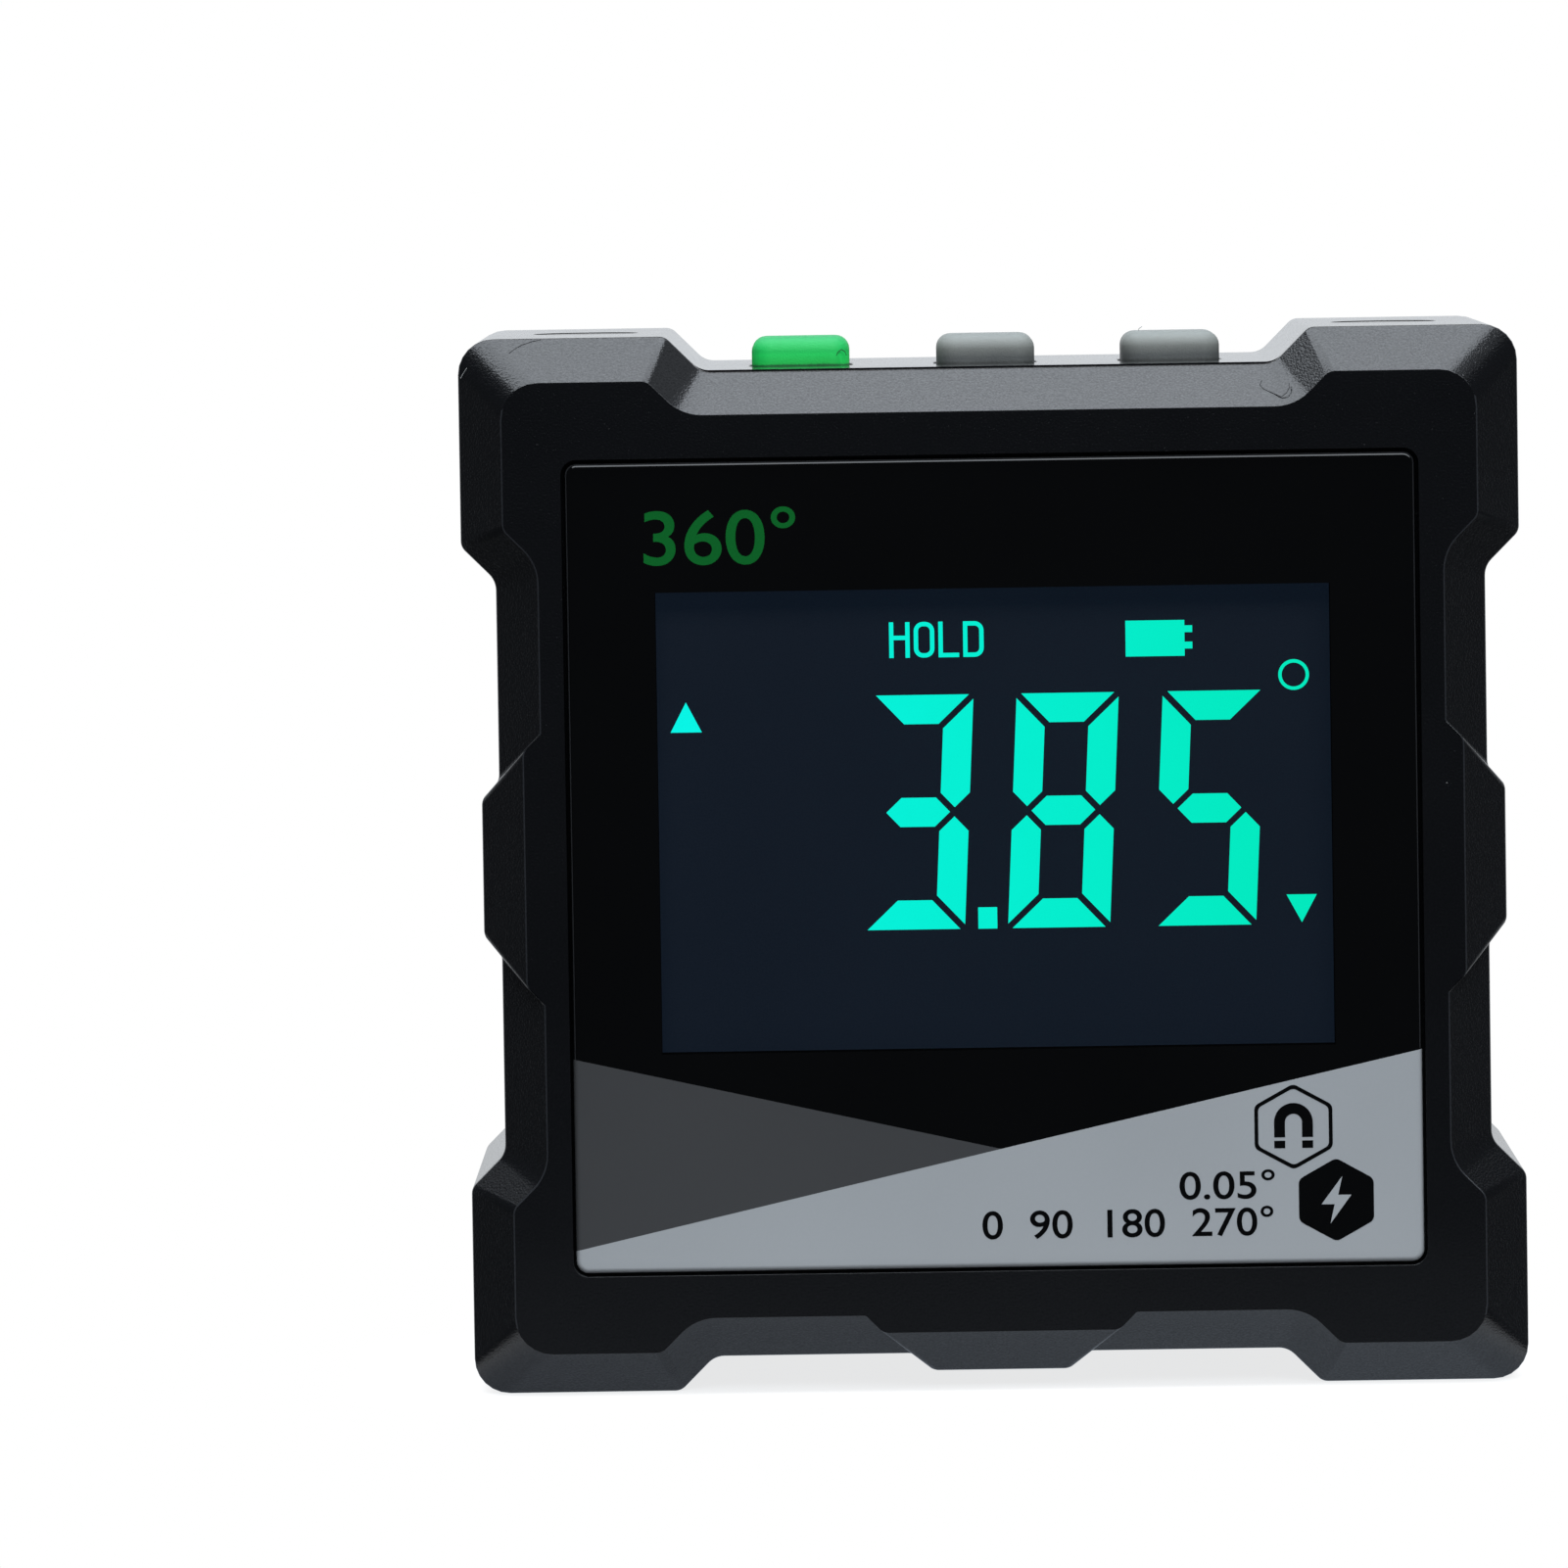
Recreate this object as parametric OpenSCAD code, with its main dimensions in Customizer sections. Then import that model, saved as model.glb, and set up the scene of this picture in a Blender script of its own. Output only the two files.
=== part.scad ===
// Digital angle gauge: a square magnetic level box that stands upright, with its display facing -Y.
// Millimetres, +Z up. The origin is the middle of the base, on the plane of the lower pads.

/* [Body] */
// Overall width across the corner pads
body_w = 60; // [54:0.5:70]
// Overall height across the corner pads
body_h = 60; // [54:0.5:70]
// Overall depth, front face to back face
body_d = 30; // [27:0.5:36]
// Radius of the four outer corners
corner_r = 2; // [1:0.1:3]
// Length of a corner pad along its side
pad_len = 11.75; // [10:0.05:12.5]
// Length of the ramp from a corner pad down to the recess
pad_ramp = 1.95; // [1.6:0.05:3]
// How far the side recesses lie below the corner pads
recess = 1.95; // [1.6:0.05:2.4]
// Thickness of the side walls behind the recesses
wall = 2; // [1.8:0.1:2.4]
// Thickness of the back wall
back_t = 2.6; // [2.4:0.1:3.2]
// Width of the chamfer round the back face
rear_chamfer = 1.4; // [0.8:0.1:1.8]

/* [Middle ribs] */
// Flat length of a rib at the outline
rib_flat = 7.8; // [6:0.1:9]
// Flat length of a rib at the front face
rib_face = 13.4; // [11:0.1:15]
// Length of the ramps at a rib's ends
rib_ramp = 1; // [0.8:0.1:1.6]
// How far a rib lies below the corner pads
rib_drop = 0.95; // [0.7:0.05:1.3]

/* [Front bezel] */
// Width of the front chamfer, seen from the front
chamfer_w = 2.45; // [2:0.05:2.9]
// Depth of the front chamfer, from the front face back
chamfer_d = 2.6; // [1.8:0.1:2.8]
// Depth of the bezel, from the front face to its back
bezel_t = 3.2; // [3.1:0.1:4]
// How far the housing stands above the bezel between the upper pads
recess_step = 0.12; // [0.05:0.01:0.2]
// Gap between the bezel and the housing, which the gasket fills
seam = 0.12; // [0.05:0.01:0.2]
// Radius of the flat front face's corners
face_r = 2.1; // [1:0.1:3]
// Blend radius at the foot of a pad's ramp on the front face
face_foot_r = 2.8; // [0.5:0.1:3]
// Blend radius at the end of a corner pad
pad_end_r = 0.8; // [0.2:0.1:1]
// Blend radius at the foot of a pad's ramp on the outline
pad_foot_r = 1.3; // [0.2:0.1:2]
// Blend radius at the foot of a rib's ramp on the outline
rib_foot_r = 1; // [0.2:0.1:1.2]
// Radius left on a crease that looks sharp
crease_r = 0.25; // [0.1:0.05:0.4]
// Depth of the bezel's locating lip inside the housing
lip_len = 1.5; // [1:0.1:2]
// Thickness of the locating lip
lip_t = 1.1; // [0.8:0.1:1.3]

/* [Window] */
// Distance of the display window from the body's left and right side
window_side = 5.95; // [5.8:0.05:8]
// Distance of the display window from the body's top and bottom
window_end = 7; // [6.8:0.05:8]
// Thickness of the display window
window_t = 1.5; // [1:0.1:1.7]
// Corner radius of the display window
window_r = 0.7; // [0.6:0.1:1.5]
// Rounding of the window's front edge
window_round = 0.3; // [0.2:0.05:0.5]
// Gap between the window and the bezel
window_gap = 0.17; // [0.1:0.01:0.45]
// How far the window lies below the bezel's face
window_sink = 0.3; // [0.1:0.05:0.4]
// Thickness of the tape that holds the window
tape_t = 0.15; // [0.1:0.05:0.2]
// Width of the tape's frame
tape_w = 1.6; // [1:0.1:2]

/* [Display] */
// Printed border of the window left and right of the part of the display that shows
view_side = 5; // [4.6:0.1:7]
// Printed border above the part that shows
view_above = 7.3; // [6.8:0.05:9]
// Printed border below the part that shows
view_below = 12.3; // [11:0.05:14]
// Margin of the bezel's opening round the part that shows
view_margin = 0.6; // [0.3:0.1:0.9]
// Margin of the display glass left and right of the part that shows
lcd_side = 2.95; // [2:0.05:3.4]
// Margin of the display glass above the part that shows
lcd_head = 1.1; // [0.9:0.1:1.4]
// Margin of the display glass below the part that shows
lcd_foot = 3.7; // [3.4:0.1:4.5]
// Thickness of the display glass
lcd_t = 2; // [1.6:0.1:2.2]
// Thickness of the backlight
light_t = 3; // [2.4:0.1:3.4]
// Wall of the display carrier
carrier_wall = 1; // [0.8:0.1:1.2]
// Floor of the display carrier
carrier_floor = 1.6; // [1.2:0.1:2]
// Height of the rubber contact strip along the display's lower edge
strip_h = 2; // [1.5:0.1:2.2]

/* [Boards] */
// Thickness of the main board
board_t = 1.2; // [1:0.1:1.6]
// Gap between the main board and the housing's side walls
board_gap = 2; // [1.5:0.1:3]
// Gap between the main board and the housing's floor
board_floor_gap = 3.8; // [3:0.1:5]
// Distance of the main board's screws from the housing's screw posts
boss_side = 3.35; // [2.6:0.05:3.6]
// Distance of the main board's screws from its upper and lower edge
boss_in = 2.1; // [2:0.1:2.4]
// Radius of the main board's bosses
boss_r = 1.5; // [1.3:0.1:1.6]
// Radius of a small screw's shank
small_screw_r = 0.7; // [0.6:0.05:0.8]
// Length of a small screw's shank
small_screw_len = 4.5; // [4:0.5:5.5]
// Width of the charge board
charge_w = 18; // [16:0.5:20]
// Height of the charge board
charge_h = 11; // [10:0.5:12]
// Thickness of the charge board
charge_t = 1; // [0.8:0.1:1.2]

/* [Keys] */
// Width of a key
key_w = 5.6; // [4.5:0.1:6]
// Length of a key, front to back
key_l = 6.6; // [5:0.1:8]
// Corner radius of a key, seen from above
key_r = 1.1; // [0.8:0.1:1.5]
// Rounding of a key's top edge
key_round = 0.8; // [0.2:0.05:1]
// Distance of the outer keys' middles from the feet of the corner pads
key_in = 5.7; // [4.8:0.1:6.5]
// How far a key stands above the floor of its recess
key_rise = 1.65; // [1:0.05:1.9]
// Gap between a key and its hole
key_gap = 0.15; // [0.1:0.05:0.25]
// Width of the flange that holds a key in
flange_w = 0.9; // [0.6:0.1:1.2]
// Thickness of that flange
flange_t = 0.8; // [0.6:0.1:1.2]
// Travel of a key
key_travel = 0.4; // [0.2:0.05:0.5]
// Length of a key's stem below its flange
stem_len = 1.4; // [1:0.1:1.8]
// Width of a switch
switch_w = 6; // [5:0.1:6.4]
// Depth of a switch behind the board
switch_l = 4.4; // [3.6:0.1:5]
// Height of a switch
switch_h = 4.2; // [3.4:0.1:5]
// How far a switch's plunger stands out
plunger_rise = 1; // [0.6:0.1:1.4]

/* [Magnets and screws] */
// Diameter of a magnet
magnet_d = 6; // [5:0.5:7]
// Thickness of a magnet
magnet_t = 2; // [1.5:0.1:2.2]
// How far a magnet lies below its pad
magnet_sink = 0.05; // [0.05:0.05:0.2]
// Gap round a magnet in its pocket
magnet_gap = 0.05; // [0.02:0.01:0.1]
// Distance of a magnet's middle from the next side
magnet_in = 7; // [6.8:0.1:7.4]
// Distance of the housing screws from the inside of the walls
post_in = 3; // [2.8:0.1:3.2]
// Radius of the screw posts
post_r = 3.2; // [3.1:0.1:3.4]
// Length of the bezel's screw bosses behind the bezel
post_front = 5.8; // [5:0.1:6.4]
// Radius of a housing screw's shank
screw_r = 1.1; // [1:0.05:1.2]
// Length of a housing screw's shank
screw_len = 9.5; // [8:0.5:9.5]
// Radius of a housing screw's head
head_r = 2.1; // [1.9:0.05:2.2]
// Thickness of the post under a screw's head
post_seat = 4.5; // [4:0.1:5]
// Clearance round a screw and its head
screw_gap = 0.25; // [0.15:0.05:0.3]

/* [Port and battery] */
// Height of the charging socket above the base
port_z = 14.5; // [13.5:0.1:16]
// Depth of the charging socket behind its opening
socket_len = 6.2; // [5.6:0.1:6.6]
// Width of the port plug
plug_w = 13; // [12:0.1:15]
// Distance of the plug's upper and lower edge from the middle of the port
plug_half = 4.2; // [3.8:0.1:4.6]
// Thickness of the port plug
plug_t = 1.3; // [1:0.1:1.4]
// Gap round the port plug
plug_gap = 0.2; // [0.15:0.05:0.3]
// Width of the battery
battery_w = 36; // [30:0.5:40]
// Height of the battery
battery_h = 20; // [16:0.5:24]
// Thickness of the battery
battery_t = 5.5; // [4:0.1:6]
// Thickness of the battery's foam pad
foam_t = 0.8; // [0.5:0.1:1.2]

/* [Hidden] */

$fn = 48;
// Straight pieces in a rounded corner
arc_steps = 6;
// Half the flat between the two arcs at a slot's end
slot_flat = 0.05;
// Overshoot of a cut past the face that it opens
cut = 1;

black_abs = [0.07, 0.07, 0.08];
board_green = [0.05, 0.3, 0.16];
steel = [0.72, 0.73, 0.75];
chip_black = [0.1, 0.1, 0.11];
key_green = [0.1, 0.75, 0.3];
key_grey = [0.52, 0.54, 0.53];

// Places across the body
mid_z = body_h / 2;
floor_z = body_h - recess;
roof_z = floor_z - wall;
cavity_x = body_w / 2 - recess - wall;
cavity_z = recess + wall;
post_x = cavity_x - post_in;
post_low = cavity_z + post_in;
post_high = roof_z - post_in;
window_w = body_w - 2 * window_side;
window_h = body_h - 2 * window_end;
view_w = window_w - 2 * view_side;
view_h = window_h - view_above - view_below;
view_z = mid_z + (view_below - view_above) / 2;
lcd_w = view_w + 2 * lcd_side;

// Places behind the front face
window_back = window_sink + window_t;
ledge = window_back + tape_t;
lcd_back = bezel_t + lcd_t;
light_back = lcd_back + light_t;
board_front = light_back + carrier_floor;
board_back = board_front + board_t;
small_tip = board_back - small_screw_len;
boss_back = bezel_t + post_front;
seat_back = boss_back + post_seat;
screw_tip = seat_back - screw_len;
tub_front = bezel_t + seam;
tub_edge = body_d - rear_chamfer;
back_in = body_d - back_t;
key_d = board_back + switch_l / 2;
key_pitch = body_w / 2 - pad_len - pad_ramp - key_in;

// Display
lcd_low = view_z - view_h / 2 - lcd_foot;
lcd_high = view_z + view_h / 2 + lcd_head;
lcd_h = lcd_high - lcd_low;
carrier_gap = 0.15;
strip_gap = 0.2;
strip_in = 1;
strip_low = lcd_low + strip_gap;
light_low = strip_low + strip_h + strip_gap;

// Keys and switches, from the recess down
flange_gap = 0.1;
flange_top = roof_z - flange_gap;
flange_low = flange_top - flange_t;
plunger_top = flange_low - stem_len;
switch_top = plunger_top - plunger_rise;
plunger_w = 2.6;
plunger_l = 1.5;
plunger_in = 1.2;
plunger_gap = 0.1;
stem_w = 3;
stem_l = 2.4;

// Main board
board_x = cavity_x - board_gap;
board_low = cavity_z + board_floor_gap;
board_over = 0.3;
board_high = switch_top + board_over;
notch_gap = 0.4;
notch_x = post_x - post_r - notch_gap;
notch_low = post_low + post_r + notch_gap;
notch_high = post_high - post_r - notch_gap;
boss_x = post_x - post_r - boss_side;
boss_low = board_low + boss_in;
boss_high = board_high - boss_in;
small_head_r = 1.4;
small_head_t = 0.9;
small_gap = 0.05;
board_hole_gap = 0.1;
tip_gap = 0.4;
boss_play = 0.3;

// Chips
processor_x = -6;
processor_up = 3;
processor_w = 10;
processor_t = 1.4;
sensor_x = 9;
sensor_w = 5;
sensor_t = 1.2;
charge_chip_x = 5.5;
charge_chip_w = 3;
charge_chip_t = 1;

// Charge board, battery and port
socket_gap = 0.2;
charge_back = back_in - socket_gap - socket_len;
charge_front = charge_back - charge_t;
charge_tip = charge_front + small_screw_len;
charge_boss_in = 1.8;
charge_boss_x = charge_w / 2 - charge_boss_in;
charge_boss_r = 1.7;
charge_low = port_z - charge_h / 2;
charge_high = port_z + charge_h / 2;
link_in = 1.6;
link_z = charge_low + link_in;
link_pitch = 2.54;
link_pin = 0.64;
link_gap = 0.1;
link_floor = 0.6;
link_body = 2.5;
link_play = 1.5;
link_tall = charge_front - link_body - link_play - board_back;
link_w = 2 * link_pitch;
lead_drop = 4.2;
battery_low = charge_high + lead_drop;
battery_back = back_in - foam_t;
battery_front = battery_back - battery_t;
battery_rib = 1;
battery_rib_tall = 2.5;
battery_rib_in = 3;
battery_gap = 0.3;
lead_r = 0.4;
lead_bend = 1.2;
lead_reach = 2.6;
lead_d = charge_back + lead_reach;
lead_x = 2;
lead_in = 1.2;
lead_z = charge_high - lead_in;
socket_w = 8.94;
socket_h = 3.26;
socket_wall = 0.3;
slot_w = 9.6;
slot_h = 3.9;
collar_w = 8.6;
collar_h = 2.8;
collar_len = 0.9;
plug_sink = 0.05;
plug_floor_gap = 0.1;
plug_top_gap = 0.4;
nail_r = 3;
nail_d = 0.9;
plug_axis_z = port_z + plug_half;
plug_front = body_d - plug_sink - plug_t;
plug_axis_d = body_d - plug_sink - plug_t / 2;
pocket_d = plug_front - plug_floor_gap;

// Gasket in the rim of the housing
gasket_w = 0.9;
gasket_t = 0.9;
gasket_gap = 0.05;
gasket_r = 1.5;

// Angle between a pad's ramp and its side
ramp_angle = atan2(recess, pad_ramp);

function unit(v) = v / norm(v);

// Points of an arc of radius r that rounds the corner b of the path a, b, c
function corner_arc(a, b, c, r) =
    let (
        u = unit(a - b),
        v = unit(c - b),
        half = acos(u * v) / 2,
        middle = b + unit(u + v) * r / sin(half),
        start = b + u * r / tan(half) - middle,
        first = atan2(start[1], start[0]),
        step = (180 - 2 * half) * sign(cross(b - a, c - b)) / arc_steps
    )
    [for (k = [0 : arc_steps]) middle + r * [cos(first + step * k), sin(first + step * k)]];

function flat(p) = [p[0], p[1]];

// A closed path of [x, z, radius] corners, with each corner rounded
function rounded(path) =
    let (n = len(path))
    [for (i = [0 : n - 1])
        each corner_arc(flat(path[(i + n - 1) % n]), flat(path[i]), flat(path[(i + 1) % n]), path[i][2])];

function rounded_rect(w, h, r) =
    rounded([[-w / 2, -h / 2, r], [w / 2, -h / 2, r], [w / 2, h / 2, r], [-w / 2, h / 2, r]]);

// A slot whose ends are round but for a short flat
function slot_outline(w, h) = rounded_rect(w, h, h / 2 - slot_flat);

// Steps [inset, drop] round a convex edge of radius r, from its flat top to its side
function edge_steps(r) =
    [for (k = [0 : arc_steps]) let (a = 90 * k / arc_steps) [r * (1 - sin(a)), r * (1 - cos(a))]];

function moved(points, x, z) = [for (p = points) p + [x, z]];

// Corners [along, inwards, radius] of one side, from its first corner pad to its last.
// A rib_half of nought leaves the rib out.
function side_path(half, inset, depth, rib_half, foot_r, rib_r) =
    let (
        shift = inset * tan(ramp_angle / 2),
        pad_end = half - pad_len + shift,
        pad_foot = pad_end - depth / tan(ramp_angle),
        rib_foot = rib_half + rib_ramp
    )
    concat(
        [[-pad_end, inset, pad_end_r], [-pad_foot, depth + inset, foot_r]],
        rib_half > 0 ? [
            [-rib_foot, depth + inset, rib_r],
            [-rib_half, rib_drop + inset, pad_end_r],
            [rib_half, rib_drop + inset, pad_end_r],
            [rib_foot, depth + inset, rib_r]
        ] : [],
        [[pad_foot, depth + inset, foot_r], [pad_end, inset, pad_end_r]]
    );

// The whole outline, seen from the front: pads and recesses on all sides, any ribs on all but the top
function outline(inset, top_depth, rib_half, turn_r, foot_r, rib_r) =
    let (
        x = body_w / 2 - inset,
        across = body_w / 2,
        bottom = side_path(across, inset, recess, rib_half, foot_r, rib_r),
        sides = side_path(mid_z, inset, recess, rib_half, foot_r, rib_r),
        top = side_path(across, inset, top_depth, 0, foot_r, rib_r)
    )
    rounded(concat(
        [[-x, inset, turn_r]],
        bottom,
        [[x, inset, turn_r]],
        [for (p = sides) [across - p[1], mid_z + p[0], p[2]]],
        [[x, body_h - inset, turn_r]],
        [for (p = top) [-p[0], body_h - p[1], p[2]]],
        [[-x, body_h - inset, turn_r]],
        [for (p = sides) [p[1] - across, mid_z - p[0], p[2]]]
    ));

// The housing has no ribs; the bezel has, and its top recess lies a step lower
function housing_outline(inset) = outline(inset, recess, 0, corner_r, pad_foot_r, rib_foot_r);
function bezel_outline() =
    outline(0, recess + recess_step, rib_flat / 2, corner_r, pad_foot_r, rib_foot_r);
function face_outline() = outline(chamfer_w, recess, rib_face / 2, face_r, face_foot_r, crease_r);

// The window's outline, drawn in or, below nought, out
function window_outline(inset) =
    moved(rounded_rect(window_w - 2 * inset, window_h - 2 * inset, window_r - inset), 0, mid_z);

// A key's outline, drawn in or, below nought, out
function key_outline(inset) = rounded_rect(key_w - 2 * inset, key_l - 2 * inset, key_r - inset);

// A ring of points at a depth behind the front face, or at a height
function ring_at_depth(points, d) = [for (p = points) [p[0], d - body_d / 2, p[1]]];
function ring_at_height(points, z, y) = [for (p = points) [p[0], p[1] + y, z]];

function middle_of(ring) =
    [for (axis = [0 : 2])
        let (places = [for (p = ring) p[axis]])
        (max(places) + min(places)) / 2];

// A closed skin through rings with equal numbers of points; each end is a fan round its middle
module loft(rings) {
    n = len(rings[0]);
    last = len(rings) - 1;
    first_middle = (last + 1) * n;
    last_middle = first_middle + 1;
    ends = [for (i = [0 : n - 1])
        let (j = (i + 1) % n)
        each [[first_middle, j, i], [last_middle, last * n + i, last * n + j]]];
    sides = [for (k = [0 : last - 1], i = [0 : n - 1])
        let (j = (i + 1) % n)
        each [
            [k * n + i, k * n + j, (k + 1) * n + j],
            [k * n + i, (k + 1) * n + j, (k + 1) * n + i]
        ]];
    polyhedron(
        points = concat([for (r = rings) each r], [middle_of(rings[0]), middle_of(rings[last])]),
        faces = concat(ends, sides)
    );
}

// A flat shape, drawn as seen from the front, between two depths behind the front face
module slab(from, to) {
    translate([0, to - body_d / 2, 0])
        rotate([90, 0, 0])
            linear_extrude(to - from)
                children();
}

// A round rod or bore along the depth
module rod(x, z, r, from, to) {
    translate([x, to - body_d / 2, z])
        rotate([90, 0, 0])
            cylinder(r = r, h = to - from);
}

// A block between two depths, from the lower left to the upper right corner
module block(x0, z0, x1, z1, from, to) {
    translate([x0, from - body_d / 2, z0])
        cube([x1 - x0, to - from, z1 - z0]);
}

module at_posts() {
    for (x = [-post_x, post_x], z = [post_low, post_high])
        translate([x, 0, z])
            children();
}

module at_board_bosses() {
    for (x = [-boss_x, boss_x], z = [boss_low, boss_high])
        translate([x, 0, z])
            children();
}

module at_charge_bosses() {
    for (x = [-charge_boss_x, charge_boss_x])
        translate([x, 0, port_z])
            children();
}

// The front face lofted back to the outline, with the window's seat, the view and the bosses behind
module front_bezel() {
    color(black_abs)
        difference() {
            union() {
                loft([
                    ring_at_depth(face_outline(), 0),
                    ring_at_depth(bezel_outline(), chamfer_d),
                    ring_at_depth(bezel_outline(), bezel_t)
                ]);
                bezel_lip();
                at_posts() rod(0, 0, post_r - boss_play, bezel_t - cut, boss_back);
                at_board_bosses() rod(0, 0, boss_r, bezel_t - cut, board_front);
            }
            slab(-cut, ledge)
                polygon(window_outline(-window_gap));
            slab(-cut, bezel_t + cut)
                translate([0, view_z])
                    square([view_w + 2 * view_margin, view_h + 2 * view_margin], center = true);
            at_posts() rod(0, 0, screw_r + small_gap, screw_tip - tip_gap, boss_back + cut);
            at_board_bosses()
                rod(0, 0, small_screw_r + small_gap, small_tip - tip_gap, board_front + cut);
        }
}

// A rectangular lip that locates the bezel inside the housing's walls
module bezel_lip() {
    lip_gap = 0.15;
    lip_root = 0.5;
    x = cavity_x - lip_gap;
    low = cavity_z + lip_gap;
    high = roof_z - lip_gap;
    difference() {
        block(-x, low, x, high, bezel_t - lip_root, bezel_t + lip_len);
        block(lip_t - x, low + lip_t, x - lip_t, high - lip_t, bezel_t - cut, bezel_t + lip_len + cut);
    }
}

// The tub: outline, posts and bosses, with the key holes, magnet pockets, port and screw holes cut
module rear_housing() {
    color(black_abs)
        difference() {
            union() {
                difference() {
                    housing_block();
                    block(-cavity_x, cavity_z, cavity_x, roof_z, tub_front - cut, back_in);
                }
                at_posts() rod(0, 0, post_r, boss_back, back_in + cut);
                at_charge_bosses() rod(0, 0, charge_boss_r, charge_back, back_in + cut);
                battery_ribs();
            }
            at_posts() rod(0, 0, screw_r + screw_gap, boss_back - cut, body_d);
            at_posts() rod(0, 0, head_r + screw_gap, seat_back, body_d + cut);
            at_charge_bosses()
                rod(0, 0, small_screw_r + small_gap, charge_back - cut, charge_tip + tip_gap);
            gasket_ring(gasket_w + 2 * gasket_gap, tub_front - cut, bezel_t + gasket_t + gasket_gap);
            for (i = [-1 : 1]) key_hole(i * key_pitch);
            all_magnet_spots() magnet_disc(magnet_d / 2 + magnet_gap, magnet_t + magnet_sink, -cut);
            plug_pocket();
            slab(back_in - cut, body_d)
                polygon(moved(slot_outline(slot_w, slot_h), 0, port_z));
        }
}

module housing_block() {
    slab(tub_front, tub_edge)
        polygon(housing_outline(0));
    loft([
        ring_at_depth(housing_outline(0), tub_edge),
        ring_at_depth(housing_outline(rear_chamfer), body_d)
    ]);
}

// Low ribs on the back wall, either side of the battery
module battery_ribs() {
    x = battery_w / 2 + battery_gap;
    low = battery_low + battery_rib_in;
    high = battery_low + battery_h - battery_rib_in;
    for (side = [0, 1])
        mirror([side, 0, 0])
            block(x, low, x + battery_rib, high, battery_back - battery_rib_tall, back_in + cut);
}

module key_hole(x) {
    translate([x, key_d - body_d / 2, roof_z - cut])
        linear_extrude(wall + 2 * cut)
            polygon(key_outline(-key_gap));
}

// The plug's shallow bed, its round upper edge and the nail notch below it
module plug_pocket() {
    x = plug_w / 2 + plug_gap;
    low = port_z - plug_half - plug_gap;
    high = plug_axis_z + plug_t / 2 + plug_top_gap;
    block(-x, low, x, high, pocket_d, body_d + cut);
    rod(0, low, nail_r, body_d - nail_d, body_d + cut);
}

module gasket_ring(w, from, to) {
    across = 2 * (cavity_x + wall / 2);
    tall = roof_z - cavity_z + wall;
    middle = (roof_z + cavity_z) / 2;
    slab(from, to)
        difference() {
            polygon(moved(rounded_rect(across + w, tall + w, gasket_r + w / 2), 0, middle));
            polygon(moved(rounded_rect(across - w, tall - w, gasket_r - w / 2), 0, middle));
        }
}

module housing_gasket() {
    color([0.25, 0.26, 0.28])
        gasket_ring(gasket_w, bezel_t, bezel_t + gasket_t);
}

// Pan-head screws with a cross recess, from the back
module housing_screws() {
    head_t = 1.7;
    cross_w = 0.7;
    cross_l = 2.2;
    cross_t = 0.9;
    color(steel)
        at_posts()
            difference() {
                union() {
                    rod(0, 0, screw_r, screw_tip, seat_back + head_t / 2);
                    rod(0, 0, head_r, seat_back, seat_back + head_t);
                }
                for (a = [0, 90])
                    rotate([0, a, 0])
                        block(-cross_w / 2, -cross_l / 2, cross_w / 2, cross_l / 2,
                            seat_back + head_t - cross_t, seat_back + head_t + cut);
            }
}

// Acrylic plate with a rounded front edge
module display_window() {
    color([0.03, 0.03, 0.04])
        loft(concat(
            [for (e = edge_steps(window_round)) ring_at_depth(window_outline(e[0]), window_sink + e[1])],
            [ring_at_depth(window_outline(0), window_back)]
        ));
}

module window_tape() {
    tape_in = 0.5;
    tape_across = window_w - 2 * tape_in;
    tape_tall = window_h - 2 * tape_in;
    color([0.15, 0.15, 0.16])
        slab(window_back, ledge)
            translate([0, mid_z])
                difference() {
                    square([tape_across, tape_tall], center = true);
                    square([tape_across - 2 * tape_w, tape_tall - 2 * tape_w], center = true);
                }
}

module lcd_glass() {
    color([0.08, 0.1, 0.14])
        block(-lcd_w / 2, lcd_low, lcd_w / 2, lcd_high, bezel_t, lcd_back);
}

module lcd_backlight() {
    color([0.9, 0.92, 0.9])
        block(-lcd_w / 2, light_low, lcd_w / 2, lcd_high, lcd_back, light_back);
}

// Frame that holds the display glass, backlight and contact strip on the main board
module lcd_carrier() {
    inner = lcd_w / 2 + carrier_gap;
    outer = inner + carrier_wall;
    low = lcd_low - carrier_gap;
    high = lcd_high + carrier_gap;
    rest = 2;
    color([0.85, 0.85, 0.83])
        difference() {
            block(-outer, low - carrier_wall, outer, high + carrier_wall,
                bezel_t + carrier_gap, board_front);
            block(-inner, low, inner, high, bezel_t - cut, light_back);
            block(rest - inner, light_low + rest, inner - rest, high - rest, bezel_t, board_front + cut);
            block(-inner, strip_low - strip_gap / 2, inner, strip_low + strip_h + strip_gap / 2,
                bezel_t, board_front + cut);
        }
}

module contact_strip() {
    x = lcd_w / 2 - strip_in;
    color([0.3, 0.3, 0.33])
        block(-x, strip_low, x, strip_low + strip_h, lcd_back, board_front);
}

// Board with its corners cut back round the screw posts
module main_board() {
    color(board_green)
        difference() {
            block(-board_x, board_low, board_x, board_high, board_front, board_back);
            for (side = [0, 1], z = [board_low - cut, notch_high])
                mirror([side, 0, 0])
                    block(notch_x, z, board_x + cut, z == notch_high ? board_high + cut : notch_low,
                        board_front - cut, board_back + cut);
            at_board_bosses()
                rod(0, 0, small_screw_r + board_hole_gap, board_front - cut, board_back + cut);
        }
}

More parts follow.
